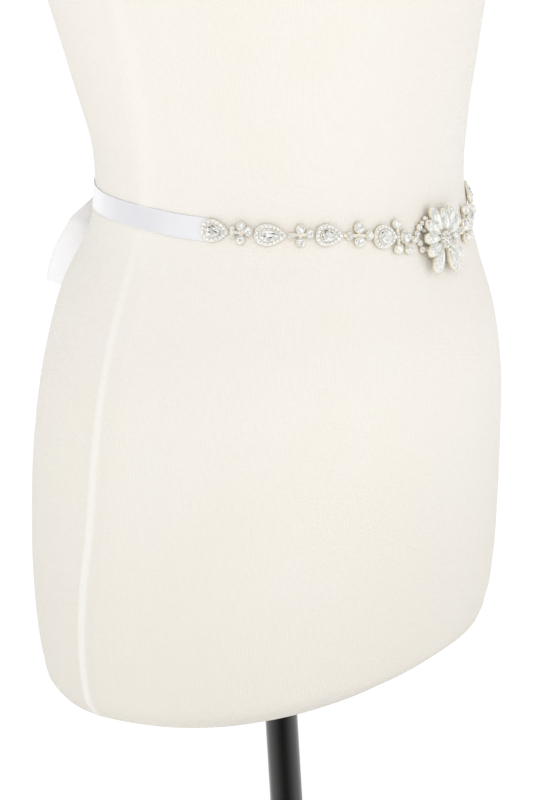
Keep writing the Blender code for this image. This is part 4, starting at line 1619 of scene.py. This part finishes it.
@dataclass
class JewelBench:
    """Collects the settings and stones of one motif and turns them into pieces."""

    wardrobe: Wardrobe
    dice: random.Random
    wall: float = 0.00018
    glass_rise: float = 0.0002
    wide_stone: float = 0.004
    wide_prong: float = 0.00034
    narrow_prong: float = 0.00024
    prong_sides: int = 6
    prong_turns: int = 60
    prong_overlap: float = 0.07
    prong_rise: float = 0.62
    facet_angle: float = math.radians(1)

    def __post_init__(self) -> None:
        """Starts empty meshes."""
        self.metal = bmesh.new()
        # The painted shade of each vertex of the metal.
        self.tarnish = self.metal.verts.layers.float.new("tarnish")
        self.glass = {kind: bmesh.new() for kind in StoneKind}
        self.facets = {
            kind: glass.faces.layers.float.new("facet") for kind, glass in self.glass.items()
        }

    def cut_stone(
        self,
        stone: StoneShape,
        girdle: float,
        kind: StoneKind,
        place: Matrix,
        points: int,
        least: float = 0.0,
    ) -> None:
        """Adds a faceted stone as the hull of a few rings of points.

        Args:
            stone: Its size.
            girdle: Height of its widest ring.
            kind: Its glass.
            place: Its placement.
            points: Points of its girdle.
            least: The least painted reflection tone that its facets may have, from 0 to 1.
        """
        glass, layer = self.glass[kind], self.facets[kind]
        rise = stone.top - girdle
        rings = (  # points, share of the outline, height, turn
            (points, 0.80, stone.low, 0.5),
            (points, 1.0, girdle, 0.5),
            (points, 0.985, girdle + rise * 0.12, 0.5),
            (points, 0.86, girdle + rise * 0.58, 0.0),
            (points // 2, 0.70, girdle + rise * 0.86, 0.25),
            (points // 2, 0.46, stone.top, 0.0),
        )
        corners = []
        for count, share, height, shift in rings:
            for x, y in stone_outline(stone.length, stone.width, stone.taper, count, shift):
                corners.append(glass.verts.new(place @ Vector((x * share, y * share, height))))
        hull = bmesh.ops.convex_hull(glass, input=corners)
        left_over = hull["geom_interior"] + hull["geom_unused"]
        spare = dict.fromkeys(v for v in left_over if isinstance(v, bmesh.types.BMVert))
        bmesh.ops.delete(glass, geom=list(spare), context="VERTS")
        for face in hull["geom"]:
            if isinstance(face, bmesh.types.BMFace) and face.is_valid:
                # Each facet gets a random painted reflection tone.
                face[layer] = least + (1 - least) * self.dice.random()

    def cup(self, stone: StoneShape, girdle: float, wall: float, place: Matrix, points: int) -> None:
        """Adds a metal cup round a stone.

        Args:
            stone: The stone's size.
            girdle: Height of the stone's widest ring.
            wall: How far the cup stands out round the stone.
            place: Its placement.
            points: Points of its outline.
        """
        levels = (  # inset, height, painted shade
            (-wall * 0.2, stone.low, 0.9),
            (-wall, stone.low + (girdle - stone.low) * 0.35, 0.6),
            (-wall, girdle, 0.1),
            (-wall * 0.5, girdle + wall * 0.6, 0.0),
            (wall * 0.4, girdle + wall * 0.2, 0.2),
        )
        rows = [
            [place @ Vector((x, y, height)) for x, y in stone.outline(points, inset)]
            for inset, height, _ in levels
        ]
        self.add_metal(rows, [tarnish for _, _, tarnish in levels])

    def add_metal(self, rows: Sequence[Sequence[Vector]], tarnish: Sequence[float]) -> None:
        """Adds a closed shape of metal from its rings, with the painted shade of each."""
        made = loft(self.metal, rows, closed=True)
        paint_rows(made, self.tarnish, tarnish)
        close_rims(self.metal, made)

    def prong(self, foot: Vector, tip: Vector, radius: float, place: Matrix) -> None:
        """Adds a tapered prong with a rounded tip.

        Args:
            foot: Where it starts.
            tip: Where it ends.
            radius: Its radius at the foot.
            place: The motif's placement.
        """
        stem = tip - foot
        turn = stem.normalized().to_track_quat("Z", "Y").to_matrix().to_4x4()
        turn.translation = foot
        # Each level: share of the length, share of the radius, painted shade.
        levels = ((0.0, 1.0, 0.8), (0.6, 0.9, 0.3), (0.88, 0.75, 0.0), (1.0, 0.35, 0.0))
        angles = [math.tau * i / self.prong_sides for i in range(self.prong_sides)]
        rows = []
        for share, width, _ in levels:
            reach, height = radius * width, stem.length * share
            ring = [Vector((reach * math.cos(a), reach * math.sin(a), height)) for a in angles]
            rows.append([place @ (turn @ point) for point in ring])
        self.add_metal(rows, [tarnish for _, _, tarnish in levels])

    def set_stone(
        self,
        stone: StoneShape,
        kind: StoneKind,
        place: Matrix,
        points: int,
        prongs: Sequence[float],
        least: float = 0.0,
    ) -> None:
        """Adds a stone in a cup with prongs over its edge.

        Args:
            stone: The whole size, with the cup.
            kind: Its glass.
            place: Its placement.
            points: Points of its outline.
            prongs: Where the prongs stand, as shares of the way round.
            least: The least painted reflection tone that its facets may have, from 0 to 1.
        """
        girdle = (stone.low + stone.top) / 2
        length, width = stone.length - 2 * self.wall, stone.width - 2 * self.wall
        inner = StoneShape(length, width, stone.taper, stone.low + self.glass_rise, stone.top)
        self.cup(inner, girdle, self.wall, place, points * 2)
        self.cut_stone(inner, girdle, kind, place, points, least)
        radius = self.wide_prong if stone.width > self.wide_stone else self.narrow_prong
        tip_height = girdle + (stone.top - girdle) * self.prong_rise
        for share in prongs:
            foot, tip = (
                inner.outline(self.prong_turns, inset, shift=share * self.prong_turns)[0]
                for inset in (-self.wall, stone.width * self.prong_overlap)
            )
            self.prong(Vector((*foot, stone.low)), Vector((*tip, tip_height)), radius, place)

    def finish(self, name: str, node: str) -> None:
        """Turns the meshes into pieces.

        Args:
            name: The motif's name.
            node: The node that the pieces stand for.
        """
        bmesh.ops.recalc_face_normals(self.metal, faces=self.metal.faces)
        pieces = [finish_piece(f"{name}_setting", self.metal, self.wardrobe, "setting")]
        for kind, glass in self.glass.items():
            if not glass.faces:
                glass.free()
                continue
            bmesh.ops.recalc_face_normals(glass, faces=glass.faces)
            piece_name = f"{name}_{kind.value}"
            pieces.append(finish_piece(piece_name, glass, self.wardrobe, kind, self.facet_angle))
        for piece in pieces:
            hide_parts(node)


@dataclass
class Applique:
    """The rhinestone applique: plates and clusters in turn, and the flower in the middle."""

    belt: BeltLine
    wardrobe: Wardrobe
    standoff: float = 0.0008
    plate_height: float = 0.0021
    plate_points: int = 40
    border_stone: float = 0.0023
    border_inset: float = 0.0012
    border_step: float = 0.00225
    border_sink: float = 0.0006
    border_top: float = 0.0030
    border_fineness: int = 240
    field_gap: float = 0.0001
    field_points: int = 16
    field_prongs: tuple[float, ...] = (0.0, 0.22, 0.5, 0.78)
    sink: float = 0.0004
    small_girdle: float = 0.0003
    small_points: int = 8
    link_width: float = 0.0018
    link_low: float = 0.0009
    link_high: float = 0.0019
    link_step: float = 0.003
    link_tarnish: float = 0.3
    filler_stone: float = 0.0018
    filler_pitch: float = 0.0019
    filler_room: float = 0.42
    filler_top: float = 0.0029
    round_points: int = 12
    petal_start: float = 0.0054
    petal_taper: float = 0.36
    petal_spread: float = 1.16
    petal_low: float = 0.0034
    petal_points: int = 18
    petal_prongs: tuple[float, ...] = (0.04, 0.22, 0.42, 0.58, 0.78)
    stem_radius: float = 0.0005
    stem_drop: float = 0.0002
    flower_shift: float = -0.001
    flower_rise: float = -0.0017
    centre_radius: float = 0.0048
    centre_points: int = 36
    centre_plate: float = 0.0059
    centre_stone: float = 0.0056
    centre_top: float = 0.0080
    centre_prongs: tuple[float, ...] = (0.0, 0.25, 0.5, 0.75)
    ring_stones: int = 12
    ring_stone: float = 0.0019
    ring_rise: float = 0.001
    spray_top: float = 0.0034
    spray_points: int = 10
    spray_start: float = 0.9
    small_least: float = 0.42
    round_least: float = 0.22
    four_prongs: tuple[float, ...] = (0.125, 0.375, 0.625, 0.875)
    side_stone: StonePlace = StonePlace(-13.4, -0.6, 6.4, 6.4, 0, 5.4)
    side_link: Link = Link(-4.4, -0.6, -12.0, -0.6)
    side_points: int = 14

    def __post_init__(self) -> None:
        """Starts the dice that the facets share."""
        self.dice = random.Random(SEED)

    def bench(self) -> JewelBench:
        """Starts a motif."""
        return JewelBench(self.wardrobe, self.dice)

    def seat(self, place: StonePlace, side: Side) -> Matrix:
        """Finds a stone's placement, its pointed end towards the flower."""
        along = APPLIQUE_CENTRE + side.value * place.distance * MM
        seat = self.belt.seat(along, place.lift * MM)
        return seat @ Matrix.Rotation(math.pi, 4, "Z") if side is Side.LEFT else seat

    def stone_at(self, place: StonePlace) -> StoneShape:
        """The size of a stone of the tables."""
        return StoneShape(
            place.length * MM, place.width * MM, place.taper, self.standoff, place.top * MM
        )

    def link_ends(self, link: Link) -> tuple[Vector, Vector]:
        """A bar's two ends, along the belt's line and above it."""
        start = Vector((link.from_distance, link.from_lift)) * MM
        return start, Vector((link.to_distance, link.to_lift)) * MM

    def add_small(self, bench: JewelBench, stone: StoneShape, base: float, place: Matrix) -> None:
        """Adds a small clear stone that is glued on.

        Args:
            bench: The motif's bench.
            stone: Its size.
            base: Height of what it is glued on.
            place: Its placement.
        """
        height = base + self.small_girdle
        bench.cut_stone(stone, height, StoneKind.CLEAR, place, self.small_points, self.small_least)

    def border_places(self, stone: StoneShape) -> list[Vector]:
        """Evenly spaced places round a plate, in from its edge.

        Args:
            stone: The plate's size.

        Returns:
            The places, on the plate's top.
        """
        points = [Vector(spot) for spot in stone.outline(self.border_fineness, self.border_inset)]
        lengths = [(b - a).length for a, b in zip(points, points[1:] + points[:1])]
        reached = np.concatenate(([0.0], np.cumsum(lengths)))
        count = round(reached[-1] / self.border_step)
        steps = [int(np.searchsorted(reached, reached[-1] * i / count)) for i in range(count)]
        return [points[min(step, len(points) - 1)].to_3d() for step in steps]

    def build_plate(self, name: str, place: StonePlace, side: Side) -> None:
        """Builds a pear plate: small stones round its edge and a cut stone inside.

        Args:
            name: The motif's name.
            place: Its place and size.
            side: The wearer's side.
        """
        bench, seat, plate = self.bench(), self.seat(place, side), self.stone_at(place)
        bench.cup(plate, self.plate_height, 0.0, seat, self.plate_points)
        small = round_stone(self.border_stone, self.plate_height - self.border_sink, self.border_top)
        for spot in self.border_places(plate):
            turned = seat @ Matrix.Translation(spot) @ Matrix.Rotation(self.dice.random(), 4, "Z")
            self.add_small(bench, small, self.plate_height, turned)
        inset = self.border_inset * 2 + self.field_gap
        length, width = plate.length - 2 * inset, plate.width - 2 * inset
        inner = StoneShape(length, width, place.taper, self.plate_height - self.sink, plate.top)
        bench.set_stone(inner, StoneKind.CLEAR, seat, self.field_points, self.field_prongs)
        node = f"{name}_{side.word}"
        bench.finish(f"{node}_jewel", node)

    def add_link(self, bench: JewelBench, link: Link, side: Side) -> None:
        """Adds a flat bar that follows the form behind the stones.

        Args:
            bench: The motif's bench.
            link: Its ends.
            side: The wearer's side.
        """
        start, end = self.link_ends(link)
        across = (end - start).normalized().orthogonal() * self.link_width / 2
        low, high = self.link_low, self.link_high
        steps = max(2, round((end - start).length / self.link_step))
        rows = []
        for i in range(steps + 1):
            middle = start.lerp(end, i / steps)
            ring = []
            for sign, out in ((-1, low), (1, low), (1, high), (-1, high)):
                place = middle + across * sign
                ring.append(self.belt.point(APPLIQUE_CENTRE + side.value * place.x, place.y, out))
            rows.append(ring)
        # The bars get painted shade, as they lie behind the stones.
        bench.add_metal(rows, [self.link_tarnish] * len(rows))

    def add_fillers(
        self, bench: JewelBench, link: Link, stones: Sequence[StonePlace], side: Side
    ) -> None:
        """Adds small stones along a bar where the large ones leave it bare.

        Args:
            bench: The motif's bench.
            link: The bar.
            stones: The motif's large stones.
            side: The wearer's side.
        """
        start, end = self.link_ends(link)
        count = int(((end - start).length - self.filler_stone) / self.filler_pitch)
        small = round_stone(self.filler_stone, self.link_high - self.sink, self.filler_top)
        for i in range(count + 1):
            spot = start.lerp(end, (i + 0.5) / (count + 1))
            room = min(
                (spot - Vector((s.distance, s.lift)) * MM).length - max(s.length, s.width) * MM / 2
                for s in stones
            )
            if room >= self.filler_stone * self.filler_room:
                seat = self.belt.seat(APPLIQUE_CENTRE + side.value * spot.x, spot.y)
                self.add_small(bench, small, self.link_high, seat)

    def build_cluster(self, name: str, side: Side) -> None:
        """Builds a cluster of round stones on its bars.

        Args:
            name: The motif's name.
            side: The wearer's side.
        """
        bench = self.bench()
        for link in CLUSTER_LINKS[name]:
            self.add_link(bench, link, side)
        for link in CLUSTER_LINKS[name]:
            self.add_fillers(bench, link, ROUND_CLUSTERS[name], side)
        for i, place in enumerate(ROUND_CLUSTERS[name]):
            kind = StoneKind.MILKY if i in MILKY_STONES.get(name, ()) else StoneKind.CLEAR
            seat, turn = self.seat(place, side), Matrix.Rotation(self.dice.random(), 4, "Z")
            turned = seat @ turn if place.length == place.width else seat
            sizes = (self.round_points, self.four_prongs)
            bench.set_stone(self.stone_at(place), kind, turned, *sizes, least=self.round_least)
        node = f"{name}_{side.word}"
        bench.finish(f"{node}_jewel", node)

    def flower_seat(self, along: float = 0.0, lift: float = 0.0) -> Matrix:
        """A flat plane against the form, at a distance from the flower's middle."""
        middle = APPLIQUE_CENTRE + self.flower_shift
        return self.belt.seat(middle + along, self.flower_rise + lift)

    def build_petal(self, number: int, petal: PetalPlace) -> None:
        """Builds a raised pear stone on its stem, pointing at the flower's middle.

        Args:
            number: The petal's number.
            petal: Its place and size.
        """
        bench, seat = self.bench(), self.flower_seat()
        length = petal.reach * MM - self.petal_start
        middle = self.petal_start + length / 2
        angle = math.radians(petal.angle)
        ray = Vector((math.cos(angle), math.sin(angle), 0))
        turned = Matrix.Rotation(angle + math.pi, 4, "Z")
        turned.translation = ray * middle
        width = petal.width * MM * self.petal_spread
        stone = StoneShape(length, width, self.petal_taper, self.petal_low, petal.top * MM)
        place = seat @ turned
        bench.set_stone(stone, StoneKind.MILKY, place, self.petal_points, self.petal_prongs)
        depth = Vector((0, 0, self.petal_low - self.stem_drop))
        bench.prong(ray * self.petal_start + depth, ray * middle + depth, self.stem_radius, seat)
        node = f"flower_petal_{number:02d}"
        bench.finish(f"{node}_jewel", node)

    def build_centre(self) -> None:
        """Builds the raised round stone and the ring of small stones round it."""
        bench, seat, base = self.bench(), self.flower_seat(), self.centre_plate
        drum = round_stone(self.centre_radius * 2, self.standoff, base)
        bench.cup(drum, base - self.small_girdle, 0.0, seat, self.centre_points)
        stone = round_stone(self.centre_stone, base - self.sink, self.centre_top)
        bench.set_stone(stone, StoneKind.CLEAR, seat, self.field_points, self.centre_prongs)
        small = round_stone(self.ring_stone, base - self.small_girdle, base + self.ring_rise)
        for i in range(self.ring_stones):
            angle = math.tau * (i + 0.5) / self.ring_stones
            ray = Vector((math.cos(angle), math.sin(angle), 0))
            place = seat @ Matrix.Translation(ray * (self.centre_radius - self.ring_stone / 2))
            self.add_small(bench, small, base, place)
        self.add_spray(bench)
        bench.finish("flower_centre_jewel", "flower_centre")

    def add_spray(self, bench: JewelBench) -> None:
        """Adds the small stones that show between the petals' tips, each on its stem."""
        seat = self.flower_seat()
        for spot in SPRAY_STONES:
            place = self.flower_seat(spot.across * MM, spot.up * MM)
            stone = round_stone(spot.size * MM, self.standoff, self.spray_top)
            sizes = (self.spray_points, self.four_prongs)
            bench.set_stone(stone, StoneKind.CLEAR, place, *sizes, least=self.round_least)
            ray = Vector((spot.across, spot.up, 0)).normalized()
            foot = ray * self.centre_radius * self.spray_start
            foot.z = self.standoff + self.stem_radius
            tip = seat.inverted() @ (place @ Vector((0, 0, self.link_high)))
            bench.prong(foot, tip, self.stem_radius, seat)

    def build_side_stone(self) -> None:
        """Builds the milky round stone at the flower's side, on its bar."""
        bench = self.bench()
        self.add_link(bench, self.side_link, Side.RIGHT)
        stone, seat = self.stone_at(self.side_stone), self.seat(self.side_stone, Side.RIGHT)
        bench.set_stone(stone, StoneKind.MILKY, seat, self.side_points, self.four_prongs)
        bench.finish("flower_side_jewel", "flower_side_stone")

    def build(self) -> None:
        """Builds every motif."""
        for side in Side:
            for name, place in PEAR_PLATES.items():
                self.build_plate(name, place, side)
            for name in ROUND_CLUSTERS:
                self.build_cluster(name, side)
        for i, petal in enumerate(PETAL_PLACES):
            self.build_petal(i + 1, petal)
        self.build_centre()
        self.build_side_stone()


@dataclass(frozen=True)
class SoftLight:
    """A square light: where it stands, its side, its power in watts and its colour."""

    name: str
    place: tuple[float, float, float]
    size: float
    power: float
    colour: tuple[float, float, float] = (1.0, 1.0, 1.0)


SOFT_LIGHTS = (
    SoftLight("key", (-2.6, -1.6, 2.2), 1.6, 24, (1.0, 0.99, 0.97)),
    SoftLight("fill", (0.8, -3.0, 1.2), 1.8, 8),
    SoftLight("rim", (-1.5, 2.2, 0.9), 1.3, 5),
)


@dataclass
class Studio:
    """The camera, the soft lights and the pale floor."""

    surface: FormSurface
    azimuth: float = math.radians(-60)
    elevation: float = math.radians(13.5)
    roll: float = math.radians(3.5)
    distance: float = 2.5
    aim_drop: float = 0.116
    aim_forward: float = 0.003
    lens: float = 199.7
    sensor: float = 36.0
    floor_size: float = 12.0
    floor_tone: float = 0.93
    floor_roughness: float = 0.9
    floor_glow: float = 0.33
    world_glow: float = 0.74

    def place_camera(self) -> None:
        """Puts the camera at the photograph's angle."""
        aim = Vector((0, -self.aim_forward, self.surface.waist_height - self.aim_drop))
        flat, rise = math.cos(self.elevation), math.sin(self.elevation)
        back = Vector((math.sin(self.azimuth) * flat, -math.cos(self.azimuth) * flat, rise))
        right = (-back).cross(Vector((0, 0, 1))).normalized()
        up = right.cross(-back)
        rolled_right = right * math.cos(self.roll) - up * math.sin(self.roll)
        rolled_up = right * math.sin(self.roll) + up * math.cos(self.roll)
        data = bpy.data.cameras.new("camera")
        data.lens = self.lens
        data.sensor_width = self.sensor
        camera = bpy.data.objects.new("camera", data)
        camera.matrix_world = Matrix((rolled_right, rolled_up, back)).transposed().to_4x4()
        camera.location = aim + back * self.distance
        bpy.context.scene.collection.objects.link(camera)
        bpy.context.scene.camera = camera

    def add_light(self, lamp: SoftLight) -> None:
        """Adds a square soft light that faces the waist."""
        data = bpy.data.lights.new(lamp.name, "AREA")
        data.size = lamp.size
        data.energy = lamp.power
        data.color = lamp.colour
        light = bpy.data.objects.new(lamp.name, data)
        light.location = lamp.place
        towards = Vector((0, 0, self.surface.waist_height)) - Vector(lamp.place)
        light.rotation_mode = "QUATERNION"
        light.rotation_quaternion = towards.to_track_quat("-Z", "Y")
        bpy.context.scene.collection.objects.link(light)

    def add_floor(self) -> None:
        """Lays the pale floor."""
        shape = bmesh.new()
        bmesh.ops.create_grid(shape, x_segments=1, y_segments=1, size=self.floor_size)
        mesh = bpy.data.meshes.new("floor")
        shape.to_mesh(mesh)
        shape.free()
        material = bpy.data.materials.new("pale floor")
        material.use_nodes = True
        inputs = material.node_tree.nodes["Principled BSDF"].inputs
        inputs["Base Color"].default_value = (self.floor_tone, self.floor_tone, self.floor_tone, 1)
        inputs["Roughness"].default_value = self.floor_roughness
        inputs["Emission Color"].default_value = (1, 1, 1, 1)
        inputs["Emission Strength"].default_value = self.floor_glow
        mesh.materials.append(material)
        floor = bpy.data.objects.new("floor", mesh)
        bpy.context.scene.collection.objects.link(floor)
        floor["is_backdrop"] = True

    def set_world(self) -> None:
        """Fills the room with even white light."""
        world = bpy.data.worlds.new("studio")
        world.use_nodes = True
        background = world.node_tree.nodes["Background"]
        background.inputs["Color"].default_value = (1, 1, 1, 1)
        background.inputs["Strength"].default_value = self.world_glow
        bpy.context.scene.world = world
        bpy.context.scene.view_settings.view_transform = "Standard"

    def build(self) -> None:
        """Sets up the whole studio."""
        self.set_world()
        self.add_floor()
        for lamp in SOFT_LIGHTS:
            self.add_light(lamp)
        self.place_camera()


def write_sizes() -> None:
    """Writes the frame's box and the dressed part's box, to compare them."""
    boxes = {"cad": CAD_BOX, "visual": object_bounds()}
    grown = [
        (v_high - v_low) - (c_high - c_low)
        for c_low, c_high, v_low, v_high in zip(*boxes["cad"], *boxes["visual"])
    ]
    LOG.info("the dressed part is larger than the frame by %s m", [round(g, 4) for g in grown])


def main() -> None:
    """Builds the studio and every piece."""
    logging.basicConfig(level=logging.INFO, format="%(name)s: %(message)s")
    surface = FormSurface()
    belt = BeltLine(surface)
    wardrobe = Wardrobe()
    maker = RibbonMaker(wardrobe)
    Studio(surface).build()
    Torso(surface, wardrobe).build()
    Stand(wardrobe).build()
    ribbon = BeltRibbon(belt, maker)
    for side in Side:
        ribbon.build(side)
    Bow(surface, maker, wardrobe).build()
    Applique(belt, wardrobe).build()
    write_sizes()


if __name__ == "__main__":
    main()
